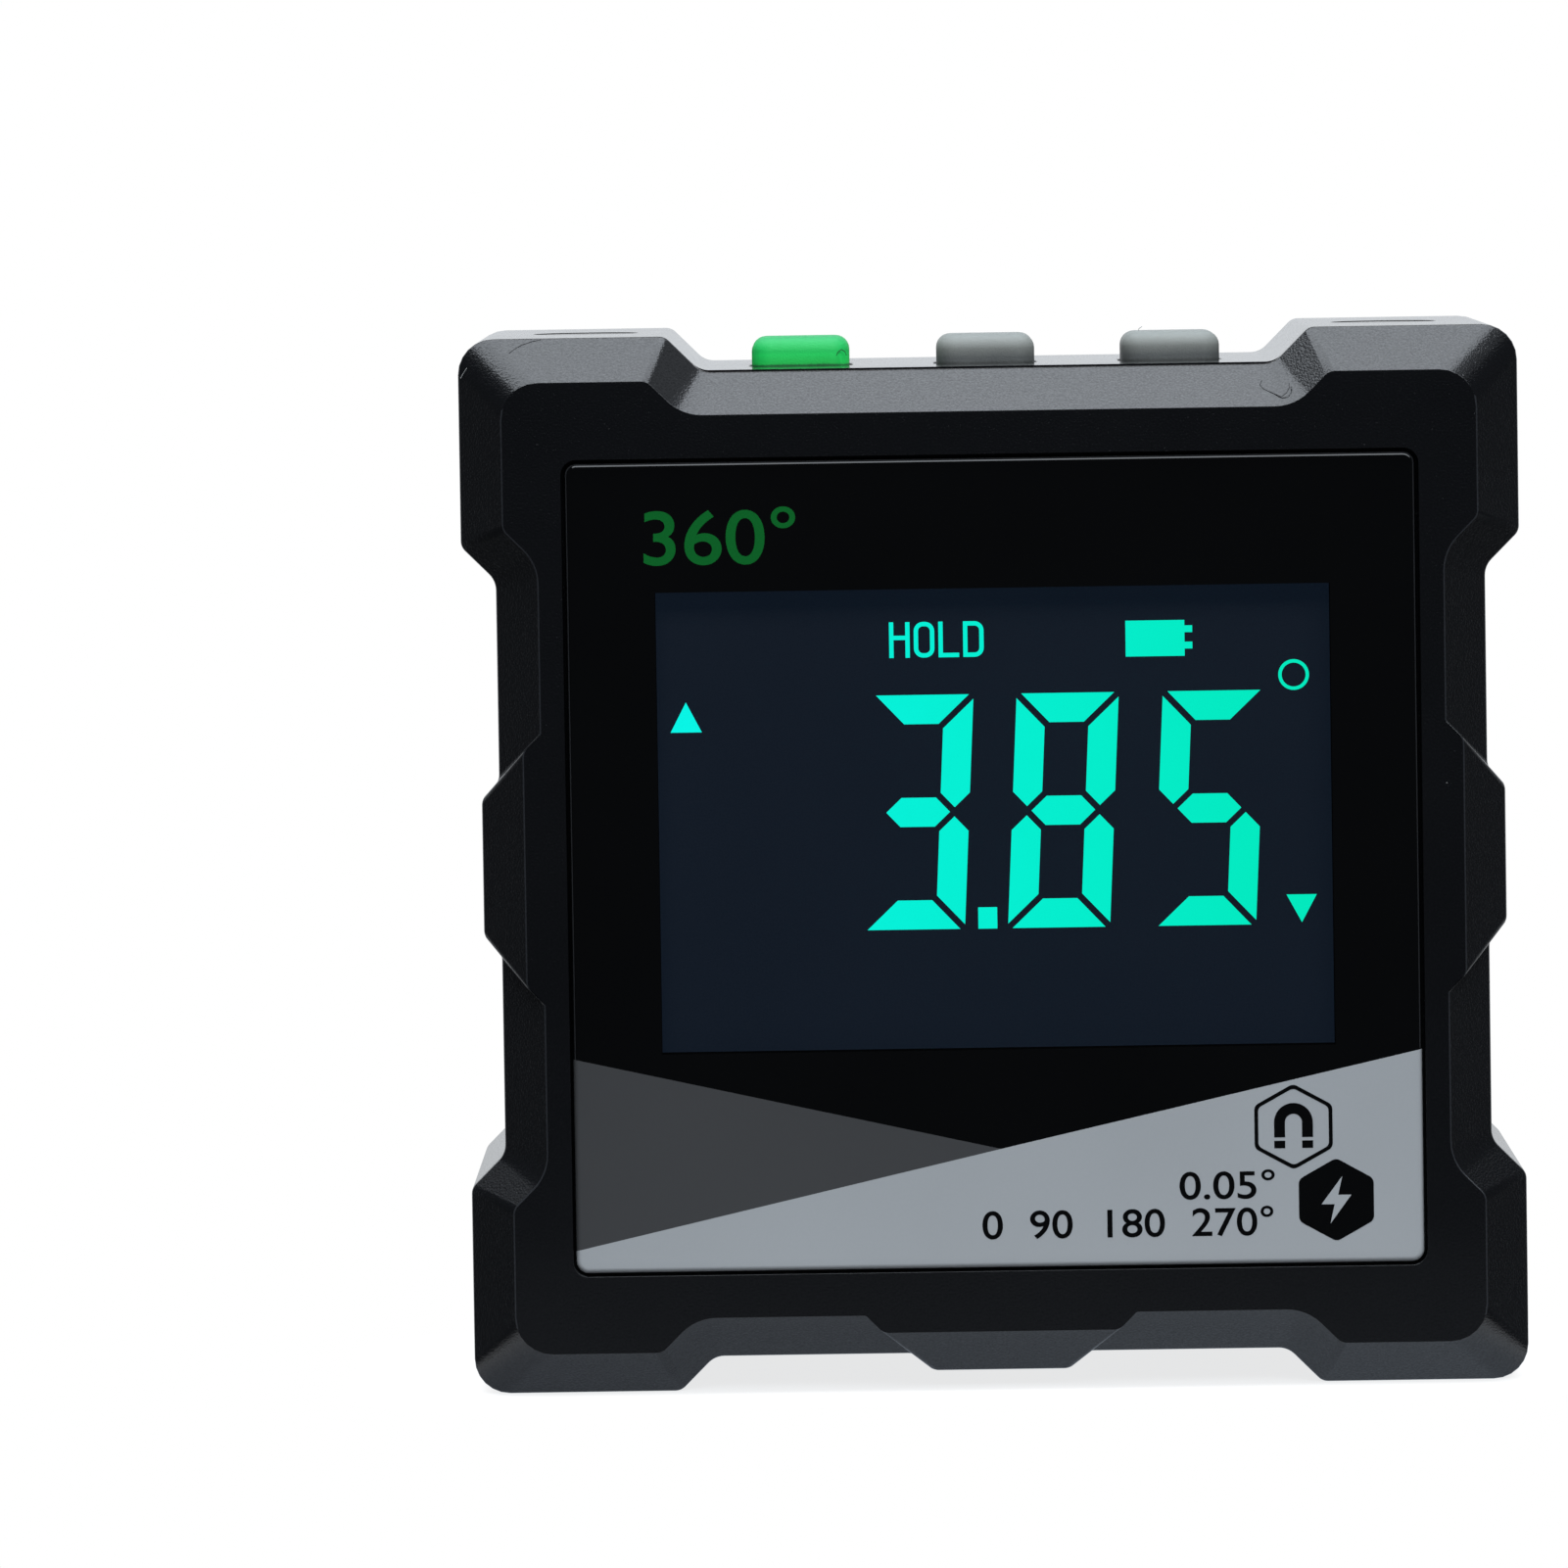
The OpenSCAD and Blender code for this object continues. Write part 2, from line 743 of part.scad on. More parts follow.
// Small screw along the depth; its head bears on a board's face, towards +Y or, turned, towards -Y
module small_screw(seat, turned) {
    mid_head = small_head_t / 2;
    if (turned) {
        rod(0, 0, small_head_r, seat - small_head_t, seat);
        rod(0, 0, small_screw_r, seat - mid_head, seat + small_screw_len);
    } else {
        rod(0, 0, small_head_r, seat, seat + small_head_t);
        rod(0, 0, small_screw_r, seat - small_screw_len, seat + mid_head);
    }
}

module board_screws() {
    color(steel)
        at_board_bosses() small_screw(board_back, false);
}

module charge_board_screws() {
    color(steel)
        at_charge_bosses() small_screw(charge_front, true);
}

module chip(x, z, w, h, t, from) {
    block(x - w / 2, z - h / 2, x + w / 2, z + h / 2, from, from + t);
}

module processor_chip() {
    color(chip_black)
        chip(processor_x, mid_z + processor_up, processor_w, processor_w, processor_t, board_back);
}

module tilt_sensor() {
    color(chip_black)
        chip(sensor_x, mid_z, sensor_w, sensor_w, sensor_t, board_back);
}

module charge_chip() {
    color(chip_black)
        chip(charge_chip_x, link_z, charge_chip_w, charge_chip_w, charge_chip_t,
            charge_front - charge_chip_t);
}

// Side-push switch on the back of the board, with a well for its plunger
module switch_body(x) {
    floor_gap = 0.2;
    well = plunger_in + key_travel + floor_gap;
    well_x = plunger_w / 2 + plunger_gap;
    well_d = plunger_l / 2 + plunger_gap;
    color([0.2, 0.2, 0.21])
        difference() {
            block(x - switch_w / 2, switch_top - switch_h, x + switch_w / 2, switch_top,
                board_back, board_back + switch_l);
            block(x - well_x, switch_top - well, x + well_x, switch_top + cut,
                key_d - well_d, key_d + well_d);
        }
}

module plunger(x) {
    color([0.75, 0.72, 0.6])
        block(x - plunger_w / 2, switch_top - plunger_in, x + plunger_w / 2, plunger_top,
            key_d - plunger_l / 2, key_d + plunger_l / 2);
}

// Rubber key: a shaft with a rounded top, a flange under the roof and a stem down to the plunger
module key(x, tint) {
    y = key_d - body_d / 2;
    top = floor_z + key_rise;
    color(tint)
        translate([x, 0, 0]) {
            loft(concat(
                [for (e = edge_steps(key_round)) ring_at_height(key_outline(e[0]), top - e[1], y)],
                [ring_at_height(key_outline(0), flange_low + flange_t / 2, y)]
            ));
            translate([0, y, flange_low])
                linear_extrude(flange_t)
                    polygon(key_outline(-flange_w));
            translate([-stem_w / 2, y - stem_l / 2, plunger_top])
                cube([stem_w, stem_l, stem_len + flange_t / 2]);
        }
}

module charge_board() {
    color(board_green)
        difference() {
            block(-charge_w / 2, charge_low, charge_w / 2, charge_high, charge_front, charge_back);
            at_charge_bosses()
                rod(0, 0, small_screw_r + board_hole_gap, charge_front - cut, charge_back + cut);
        }
}

// Upright socket: a drawn metal shell with a tongue inside
module usb_socket() {
    floor_t = 1.2;
    tongue_w = 6.7;
    tongue_h = 0.7;
    tongue_in = 0.8;
    inner_w = socket_w - 2 * socket_wall;
    inner_h = socket_h - 2 * socket_wall;
    mouth = charge_back + socket_len;
    color(steel) {
        difference() {
            slab(charge_back, mouth)
                polygon(moved(slot_outline(socket_w, socket_h), 0, port_z));
            slab(charge_back + floor_t, mouth + cut)
                polygon(moved(slot_outline(inner_w, inner_h), 0, port_z));
        }
        block(-tongue_w / 2, port_z - tongue_h / 2, tongue_w / 2, port_z + tongue_h / 2,
            charge_back + floor_t / 2, mouth - tongue_in);
    }
}

module at_link_pins() {
    for (x = [-link_pitch / 2, link_pitch / 2])
        translate([x, 0, link_z])
            children();
}

// Two-way socket on the main board that takes the pins of the charge board
module link_socket() {
    hole = link_pin / 2 + link_gap;
    color(chip_black)
        difference() {
            chip(0, link_z, link_w, link_pitch, link_tall, board_back);
            at_link_pins()
                block(-hole, -hole, hole, hole, board_back + link_floor, board_back + link_tall + cut);
        }
}

module link_header() {
    half = link_pin / 2;
    color(chip_black) {
        chip(0, link_z, link_w, link_pitch, link_body, charge_front - link_body);
        at_link_pins()
            block(-half, -half, half, half,
                board_back + link_floor + tip_gap, charge_front - link_body / 2);
    }
}

module battery_cell() {
    round_r = 1.5;
    color([0.72, 0.73, 0.74])
        translate([-battery_w / 2, (battery_front + battery_back - body_d) / 2, battery_low])
            rotate([90, 0, 90])
                linear_extrude(battery_w)
                    polygon(moved(rounded_rect(battery_t, battery_h, round_r), 0, battery_h / 2));
}

module battery_pad() {
    inset = 3;
    color([0.2, 0.2, 0.2])
        block(inset - battery_w / 2, battery_low + inset,
            battery_w / 2 - inset, battery_low + battery_h - inset, battery_back, back_in);
}

// Two leads from the battery's lower edge, bent forward onto the charge board
module battery_leads() {
    bend_z = lead_z + lead_bend;
    color([0.7, 0.1, 0.1])
        for (x = [-lead_x, lead_x])
            translate([x, lead_d - body_d / 2, 0]) {
                translate([0, 0, bend_z])
                    cylinder(r = lead_r, h = battery_low - bend_z);
                translate([0, -lead_bend, bend_z])
                    rotate([0, 90, 0])
                        rotate_extrude(angle = 90)
                            translate([lead_bend, 0])
                                circle(r = lead_r);
                translate([0, -lead_bend, lead_z])
                    rotate([90, 0, 0])
                        cylinder(r = lead_r, h = lead_d - lead_bend - charge_back);
            }
}

// Rubber plug: a flap with a round upper edge to turn about and a collar that enters the port
module port_plug() {
    x = plug_w / 2;
    low = port_z - plug_half;
    color([0.1, 0.1, 0.11]) {
        block(-x, low, x, plug_axis_z, plug_front, plug_front + plug_t);
        translate([-x, plug_axis_d - body_d / 2, plug_axis_z])
            rotate([0, 90, 0])
                cylinder(r = plug_t / 2, h = plug_w);
        slab(plug_front - collar_len, plug_front + plug_t / 2)
            polygon(moved(slot_outline(collar_w, collar_h), 0, port_z));
    }
}

// A magnet lies in its pad with its face towards -Z, before it is turned to its side
module magnet_disc(r, depth, face) {
    translate([0, 0, face])
        cylinder(r = r, h = depth - face);
}

// Turns a disc that faces down onto one of the four sides: 0 bottom, 1 right, 2 top, 3 left
module magnet_spot(side, along) {
    x = body_w / 2 - magnet_in;
    z = mid_z - magnet_in;
    if (side == 0) translate([along * x, 0, 0]) children();
    if (side == 1) translate([body_w / 2, 0, mid_z + along * z]) rotate([0, -90, 0]) children();
    if (side == 2) translate([along * x, 0, body_h]) rotate([0, 180, 0]) children();
    if (side == 3) translate([-body_w / 2, 0, mid_z + along * z]) rotate([0, 90, 0]) children();
}

module all_magnet_spots() {
    for (side = [0 : 3], along = [-1, 1])
        magnet_spot(side, along)
            children();
}

module magnet(side, along) {
    color(steel)
        magnet_spot(side, along)
            magnet_disc(magnet_d / 2, magnet_sink + magnet_t, magnet_sink);
}

front_bezel();
rear_housing();
housing_gasket();
housing_screws();
display_window();
window_tape();
lcd_glass();
lcd_backlight();
lcd_carrier();
contact_strip();
main_board();
board_screws();
processor_chip();
tilt_sensor();
switch_body(-key_pitch);  // power_switch
switch_body(0);  // hold_switch
switch_body(key_pitch);  // unit_switch
plunger(-key_pitch);  // power_plunger
plunger(0);  // hold_plunger
plunger(key_pitch);  // unit_plunger
key(-key_pitch, key_green);  // power_key
key(0, key_grey);  // hold_key
key(key_pitch, key_grey);  // unit_key
charge_board();
charge_board_screws();
charge_chip();
usb_socket();
link_socket();
link_header();
battery_cell();
battery_pad();
battery_leads();
port_plug();
magnet(0, -1);  // magnet_bottom_left
magnet(0, 1);  // magnet_bottom_right
magnet(2, -1);  // magnet_top_left
magnet(2, 1);  // magnet_top_right
magnet(3, -1);  // magnet_left_lower
magnet(3, 1);  // magnet_left_upper
magnet(1, -1);  // magnet_right_lower
magnet(1, 1);  // magnet_right_upper
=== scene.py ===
# %% [markdown]
# A digital angle gauge is a square black box that stands on any of its four sides and shows how far
# that side leans. Its pieces come from CAD at their real size, in metres, and already stand where they
# belong. This lesson gives them what a photograph of the gauge shows: rounded edges, moulded grain,
# printed inks, a lit display, soft studio light and the camera.

import math

import bmesh
import bpy
from mathutils import Matrix, Vector


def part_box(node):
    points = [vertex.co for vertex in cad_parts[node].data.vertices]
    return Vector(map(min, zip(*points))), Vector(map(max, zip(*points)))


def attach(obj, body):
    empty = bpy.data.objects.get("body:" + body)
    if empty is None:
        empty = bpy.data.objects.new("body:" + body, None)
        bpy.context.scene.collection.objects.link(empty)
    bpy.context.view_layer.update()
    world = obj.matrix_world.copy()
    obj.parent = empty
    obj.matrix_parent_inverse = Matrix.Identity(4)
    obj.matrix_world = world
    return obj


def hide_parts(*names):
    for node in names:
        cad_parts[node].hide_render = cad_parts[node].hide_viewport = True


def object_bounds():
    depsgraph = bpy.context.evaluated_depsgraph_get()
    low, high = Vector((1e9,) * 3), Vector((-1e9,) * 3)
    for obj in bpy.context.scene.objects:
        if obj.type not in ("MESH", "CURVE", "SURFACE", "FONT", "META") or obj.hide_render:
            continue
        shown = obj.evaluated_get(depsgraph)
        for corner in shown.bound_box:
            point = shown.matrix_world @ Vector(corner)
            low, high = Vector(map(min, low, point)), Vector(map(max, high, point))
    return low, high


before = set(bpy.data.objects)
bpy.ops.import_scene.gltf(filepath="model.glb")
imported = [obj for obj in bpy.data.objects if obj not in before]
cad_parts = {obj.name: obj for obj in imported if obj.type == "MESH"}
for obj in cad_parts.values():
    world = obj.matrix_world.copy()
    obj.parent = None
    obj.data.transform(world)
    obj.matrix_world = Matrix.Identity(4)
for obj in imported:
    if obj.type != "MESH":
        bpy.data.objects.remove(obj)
cad_low, cad_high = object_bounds()
MM = 0.001
print("CAD box in mm:", [round(side / MM, 2) for side in cad_high - cad_low])

# %% [markdown]
# Every place in this lesson is measured from a few planes of the gauge itself: the bezel's face, the
# front of the window and the front of the display glass. Reading them from the packed pieces keeps the
# print on the window and the digits on the display if a size changes.

# %% Planes and middles
bezel_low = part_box("front_bezel")[0]
window_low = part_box("display_window")[0]
lcd_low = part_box("lcd_glass")[0]
middle = (cad_low + cad_high) / 2
print("window's front lies", round((window_low.y - bezel_low.y) / MM, 2), "mm behind the bezel's face")
print("display's front lies", round((lcd_low.y - window_low.y) / MM, 2), "mm behind the window's front")

# %% [markdown]
# Shader maths soon becomes a thicket of boxes in the node editor. Here a small class wraps one socket, so
# that a sum such as 1 - mask can be written as it is thought, and each operator adds its Math node.


# %% A socket that can be reckoned with
class Wire:
    """One output socket of a node tree. Sums on it add Math nodes."""

    def __init__(self, tree, socket):
        self.tree = tree
        self.socket = socket

    def __add__(self, other):
        return self.tree.maths("ADD", self, other)

    def __sub__(self, other):
        return self.tree.maths("SUBTRACT", self, other)

    def __rsub__(self, other):
        return self.tree.maths("SUBTRACT", other, self)

    def __mul__(self, other):
        return self.tree.maths("MULTIPLY", self, other)

    def __lt__(self, other):
        return self.tree.maths("LESS_THAN", self, other)

    __radd__ = __add__
    __rmul__ = __mul__


print("operators that add a Math node: + - * <")

# %% [markdown]
# A finish is a node tree. One method makes any node: it sets the node's own settings first, because some
# of them change which sockets exist, and then fills the sockets with values or links.


# %% A tree of nodes
class Tree:
    """The node tree of a material or of the world."""

    def __init__(self, owner):
        self.owner = owner
        owner.use_nodes = True
        self.tree = owner.node_tree
        self.tree.nodes.clear()

    def node(self, kind, settings=None, sockets=None, out=0):
        made = self.tree.nodes.new(kind)
        for key, value in (settings or {}).items():
            if key == "stops":
                self.set_stops(made.color_ramp, value)
            else:
                setattr(made, key, value)
        for key, value in (sockets or {}).items():
            if isinstance(value, Wire):
                self.tree.links.new(value.socket, made.inputs[key])
            else:
                made.inputs[key].default_value = value
        return Wire(self, made.outputs[out]) if made.outputs else None

    @staticmethod
    def set_stops(ramp, stops):
        while len(ramp.elements) < len(stops):
            ramp.elements.new(1.0)
        for element, (position, colour) in zip(ramp.elements, stops):
            element.position = position
            element.color = (*colour, 1.0)

    def maths(self, operation, first, second):
        return self.node("ShaderNodeMath", {"operation": operation}, {0: first, 1: second})

    def show(self, shader):
        """Ends the tree with its output node and gives back the material or the world."""
        kind = "World" if isinstance(self.owner, bpy.types.World) else "Material"
        self.node("ShaderNodeOutput" + kind, sockets={"Surface": shader})
        return self.owner


print("what a tree can do:", [name for name in vars(Tree) if not name.startswith("_")])

# %% [markdown]
# Most finishes share a few patterns: noise of a given size, tiny specks, a blend of two colours and a bump
# of a given depth. They are short methods on top of the tree. Noise and specks read Object coordinates, so
# that a pattern has its real size in metres and keeps its place on the piece.


# %% Patterns that the finishes share
class Paint(Tree):
    """A node tree with the patterns that the finishes share."""

    def place(self):
        return self.node("ShaderNodeTexCoord", out="Object")

    def axis(self, letter):
        return self.node("ShaderNodeSeparateXYZ", sockets={"Vector": self.place()}, out=letter)

    def noise(self, size, detail=2.0):
        """Smooth noise from 0 to 1 whose features are about that size, in metres."""
        sockets = {"Vector": self.place(), "Scale": 1.0 / size, "Detail": detail}
        return self.node("ShaderNodeTexNoise", sockets=sockets)

    def blend(self, factor, first, second):
        """A colour between two colours."""
        sockets = {0: factor, 6: first, 7: second}
        return self.node("ShaderNodeMix", {"data_type": "RGBA"}, sockets, out=2)

    def bump(self, height, depth):
        """A normal that follows a height from 0 to 1, which stands for that depth in metres."""
        return self.node("ShaderNodeBump", sockets={"Height": height, "Distance": depth})

    def specks(self, spacing, radius, share):
        """A mask of tiny round specks, in that share of cells of that spacing."""
        cells = {"Vector": self.place(), "Scale": 1.0 / spacing}
        near = self.node("ShaderNodeTexVoronoi", sockets=cells, out="Distance")
        draw = self.node("ShaderNodeTexVoronoi", sockets=cells, out="Color")
        lot = self.node("ShaderNodeSeparateColor", sockets={"Color": draw}, out="Red")
        return (near < radius / spacing) * (lot < share)

    def finish(self, sockets):
        """Ends the tree with one Principled shader and gives back the material."""
        return self.show(self.node("ShaderNodeBsdfPrincipled", sockets=sockets))


def finish_named(name):
    return Paint(bpy.data.materials.new(name))


print("what a finish adds:", [name for name in vars(Paint) if not name.startswith("_")])

# %% [markdown]
# Two small helpers for colours. Shaders reckon in linear light, and a colour read off a screen is not
# linear, so it is turned first. And many finishes swing between a colour and the same one lighter or darker.


# %% Colours
def tint(red, green, blue):
    """A screen colour from 0 to 255 as the linear colour that a shader takes."""
    shares = [level / 255 for level in (red, green, blue)]
    linear = [s / 12.92 if s <= 0.04045 else ((s + 0.055) / 1.055) ** 2.4 for s in shares]
    return (*linear, 1.0)


def times(colour, share):
    """The same colour, lighter or darker by a share."""
    return (*(min(1.0, share * level) for level in colour[:3]), 1.0)


print("a screen grey of 128 is", round(tint(128, 128, 128)[0], 3), "to a shader")

# %% [markdown]
# The bezel and the housing are moulded in black plastic. The mould's faces were spark-eroded, which
# leaves a fine pebbled grain about an eighth of a millimetre across. An image of grain would need
# unwrapping, so noise on the object's own coordinates is used: it has no seams, and the bump is a few
# hundredths of a millimetre deep. The grain's tips are polished by handling and its hollows are dull, so
# a thin coat is stronger on the tips. A few pale dust specks lie on it, as on any black plastic.

# %% Moulded black plastic
GRAIN_WIDTH = 0.12 * MM
MOULD_CLOUD = 6 * MM
MOULD_DUST = {"spacing": 1.6 * MM, "radius": 0.04 * MM, "share": 0.012}
DUST_COLOUR = (0.35, 0.35, 0.34, 1.0)
TIP_LIGHTER = 2.4


def moulded_black(name, colour, roughness, grain_depth):
    paint = finish_named(name)
    grain = paint.noise(GRAIN_WIDTH, 1.5)
    cloud = paint.noise(MOULD_CLOUD)
    dust = paint.specks(**MOULD_DUST)
    shade = paint.blend(0.3 * cloud + 0.7 * grain, colour, times(colour, TIP_LIGHTER))
    return paint.finish({
        "Base Color": paint.blend(dust * 0.5, shade, DUST_COLOUR),
        "Roughness": roughness + 0.06 * grain + 0.04 * (cloud - 0.5),
        "Normal": paint.bump(grain, grain_depth),
        "IOR": 1.45,
        "Coat Weight": 0.9 * grain - 0.1,
        "Coat Roughness": 0.1,
    })


black_plastic = moulded_black("black_plastic", (0.0032, 0.0034, 0.0039, 1.0), 0.11, 0.022 * MM)
# A lighter plastic: a painted highlight along the face's edges on the left and right.
highlight_plastic = moulded_black("highlight_plastic", (0.016, 0.017, 0.019, 1.0), 0.20, 0.006 * MM)
print("made", black_plastic.name, "and", highlight_plastic.name)

# %% [markdown]
# The keys are silicone rubber: matt, a little powdery, with a soft unevenness. Their colour runs through a
# ramp of shades from foot to top, which is painted light: darker towards the foot, a painted shadow in the
# gap there, and paler towards the top, a painted sheen where the top catches the light. Noise shifts the
# ramp a little, which breaks the painted dark line at the foot.

# %% Silicone rubber
KEY_RISE = 1.65 * MM
KEY_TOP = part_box("hold_key")[1].z
POWDER = 0.09 * MM
POWDER_DEPTH = 0.012 * MM
RUBBER_CLOUD = 1.6 * MM


def silicone(name, shades, bloom):
    paint = finish_named(name)
    powder = paint.noise(POWDER, 3.0)
    cloud = paint.noise(RUBBER_CLOUD)
    height = {"Value": paint.axis("Z"), "From Min": KEY_TOP - KEY_RISE, "From Max": KEY_TOP}
    rise = paint.node("ShaderNodeMapRange", sockets=height) + 0.06 * (powder + cloud - 1.0)
    shade = paint.node("ShaderNodeValToRGB", {"stops": shades}, {"Fac": rise})
    return paint.finish({
        "Base Color": paint.blend(0.12 * powder + 0.12 * cloud, shade, bloom),
        "Roughness": 0.5 + 0.18 * powder,
        "Normal": paint.bump(powder + 0.6 * cloud, POWDER_DEPTH),
        "IOR": 1.41,
    })


# Each ramp is darker at the foot, a painted shadow, and paler at the top, a painted sheen.
GREEN_PAINTED_SHADING = [(0.0, (0.002, 0.05, 0.01)), (0.04, (0.003, 0.09, 0.015)), (0.09, (0.003, 0.53, 0.064)),
          (0.4, (0.006, 0.73, 0.113)), (0.7, (0.009, 0.54, 0.108)), (1.0, (0.025, 0.37, 0.123))]
GREY_PAINTED_SHADING = [(0.0, (0.02, 0.021, 0.02)), (0.04, (0.03, 0.032, 0.03)), (0.09, (0.062, 0.065, 0.064)),
         (0.2, (0.066, 0.07, 0.069)), (0.4, (0.145, 0.15, 0.138)), (0.55, (0.22, 0.228, 0.207)),
         (0.8, (0.258, 0.27, 0.25)), (1.0, (0.25, 0.268, 0.255))]
DARKS = [(0.0, (0.011, 0.011, 0.012)), (1.0, (0.018, 0.018, 0.019))]
SEALS = [(0.0, (0.03, 0.03, 0.033)), (1.0, (0.05, 0.05, 0.054))]
key_green = silicone("key_green", GREEN_PAINTED_SHADING, (0.05, 0.60, 0.17, 1.0))
key_grey = silicone("key_grey", GREY_PAINTED_SHADING, (0.34, 0.355, 0.33, 1.0))
plug_rubber = silicone("plug_rubber", DARKS, (0.02, 0.02, 0.021, 1.0))
seal_rubber = silicone("seal_rubber", SEALS, (0.06, 0.06, 0.064, 1.0))
print("made", [m.name for m in (key_green, key_grey, plug_rubber, seal_rubber)])

# %% [markdown]
# The window is an acrylic plate that is printed on its back, so every ink is seen under the same
# polished surface. A clear coat over the ink's colour does that in one shader. The inks differ only in
# colour and in how much they cloud: the silver one has a fine flake in it.

# %% Inks under polished acrylic
INK_CLOUD = 9 * MM
INK_DUST = {"spacing": 3.1 * MM, "radius": 0.05 * MM, "share": 0.06}
INK_DUST_COLOUR = (0.45, 0.45, 0.45, 1.0)


def ink(name, colour, flake, roughness):
    paint = finish_named(name)
    cloud = paint.noise(INK_CLOUD)
    grain = paint.noise(GRAIN_WIDTH)
    dust = paint.specks(**INK_DUST)
    shade = paint.blend(0.65 * cloud + 0.35 * grain, colour, times(colour, 1 + flake))
    return paint.finish({
        "Base Color": paint.blend(dust * 0.4, shade, INK_DUST_COLOUR),
        "Roughness": roughness + 0.05 * grain,
        "Specular IOR Level": 0.0,
        "Coat Weight": 1.0 - 0.05 * cloud,
        "Coat Roughness": 0.02,
        "Coat IOR": 1.49,
    })


ink_black = ink("ink_black", (0.0023, 0.0024, 0.0025, 1.0), 0.5, 0.5)
ink_silver = ink("ink_silver", (0.414, 0.43, 0.439, 1.0), 0.12, 0.42)
ink_grey = ink("ink_grey", (0.0645, 0.0652, 0.0667, 1.0), 0.14, 0.45)
ink_green = ink("ink_green", (0.006, 0.14, 0.0235, 1.0), 0.2, 0.5)
# The next two are painted light, not ink: a lighter grey, a painted reflection on the window's bare rounded
# edge, and a near white, a painted highlight on its edge at the foot.
bare_edge_reflection = ink("bare_edge_reflection", (0.030, 0.031, 0.033, 1.0), 0.3, 0.45)
foot_edge_highlight = ink("foot_edge_highlight", (0.8, 0.81, 0.82, 1.0), 0.1, 0.4)
print("made", [m.name for m in (ink_black, ink_silver, ink_grey, ink_green, bare_edge_reflection, foot_edge_highlight)])

# %% [markdown]
# Over the display the acrylic has no ink. A full glass shader would bend the light twice and add noise
# for little: the plate is flat and thin. So it lets light straight through and mirrors a little, by the
# Fresnel law, with faint smears in the gloss. Only the front mirrors: light that isn't bent would meet the
# back at too flat an angle and be thrown back whole.

# %% Clear acrylic over the display
SMEAR = 5 * MM


def clear_pane(name, mirror):
    paint = finish_named(name)
    smear = paint.noise(SMEAR, 3.0)
    through = paint.node("ShaderNodeBsdfTransparent", sockets={"Color": (0.985, 0.987, 0.99, 1.0)})
    gloss = paint.node("ShaderNodeBsdfAnisotropic", sockets={"Roughness": 0.02 + 0.03 * smear})
    share = paint.node("ShaderNodeFresnel", sockets={"IOR": 1.49}) if mirror else 0.01 * smear
    return paint.show(paint.node("ShaderNodeMixShader", sockets={0: share, 1: through, 2: gloss}))


pane_front = clear_pane("pane_front", True)
pane_back = clear_pane("pane_back", False)
print("made", pane_front.name, "and", pane_back.name)

# %% [markdown]
# The display is a negative one: a dark blue-grey field through which a little of the backlight leaks,
# with segments that let it pass. The leak is a weak emission with a fine cell noise, and the segments
# shift from cyan on the left to green on the right, as the backlight does.

# %% Display field and lit segments
CELL = 0.1 * MM
FIELD_CLOUD = 12 * MM
LIT_CLOUD = 2.2 * MM
LIT_SPAN = 36 * MM


def display_field(name):
    paint = finish_named(name)
    cells = paint.noise(CELL, 1.0)
    cloud = paint.noise(FIELD_CLOUD)
    dim, clear = (0.0022, 0.0052, 0.0108, 1.0), (0.0058, 0.0102, 0.0184, 1.0)
    return paint.finish({
        "Base Color": (0.004, 0.005, 0.008, 1.0),
        "Roughness": 0.3 + 0.1 * cells,
        "Specular IOR Level": 0.2,
        "Emission Color": paint.blend(1.4 * cells + 0.4 * cloud - 0.4, dim, clear),
        "Emission Strength": 1.0,
    })


def lit_segment(name):
    paint = finish_named(name)
    across = 0.5 + paint.axis("X") * (1 / LIT_SPAN)
    cloud = paint.noise(LIT_CLOUD)
    hue = paint.blend(across, tint(8, 254, 240), tint(0, 240, 192))
    return paint.finish({
        "Base Color": (0.0, 0.01, 0.008, 1.0),
        "Roughness": 0.4,
        "Specular IOR Level": 0.05,
        "Emission Color": paint.blend(0.25 * cloud, hue, tint(0, 236, 200)),
        "Emission Strength": 1.0,
    })


field = display_field("display_field")
glow = lit_segment("lit_segment")
print("made", field.name, "and", glow.name)

# %% [markdown]
# Metal pieces are few: disc magnets in the pads, plated in dark nickel, and zinc on the screws deep in
# their holes and on the socket behind the plug. The magnets were tumbled, so their plating has fine
# scratches in no direction, and it stains where hands touch it. One shader with fine noise serves both.

# %% Plated metal
SCRATCH = 0.05 * MM
SCRATCH_DEPTH = 0.002 * MM
STAIN = 1.4 * MM


def plated(name, colour, roughness):
    paint = finish_named(name)
    scratch = paint.noise(SCRATCH, 4.0)
    stain = paint.noise(STAIN, 3.0)
    return paint.finish({
        "Base Color": paint.blend(stain * 0.7, colour, times(colour, 0.86)),
        "Metallic": 1.0,
        "Roughness": roughness + 0.08 * stain,
        "Normal": paint.bump(scratch, SCRATCH_DEPTH),
    })


dark_nickel = plated("dark_nickel", (0.25, 0.246, 0.238, 1.0), 0.24)
zinc = plated("zinc", (0.56, 0.57, 0.58, 1.0), 0.26)
print("made", dark_nickel.name, "and", zinc.name)

# %% [markdown]
# What is inside can't be seen, but a library part may be taken apart, so those pieces get plain, honest
# finishes too: mottled solder mask, moulded chips, white diffuser plastic, foil and foam.


# %% Finishes of the inner pieces
def mottled(name, colour, roughness, size, depth, metallic=0.0):
    paint = finish_named(name)
    grain = paint.noise(size, 3.0)
    return paint.finish({
        "Base Color": paint.blend(grain, colour, times(colour, 0.6)),
        "Metallic": metallic,
        "Roughness": roughness + 0.12 * grain,
        "Normal": paint.bump(grain, depth),
    })


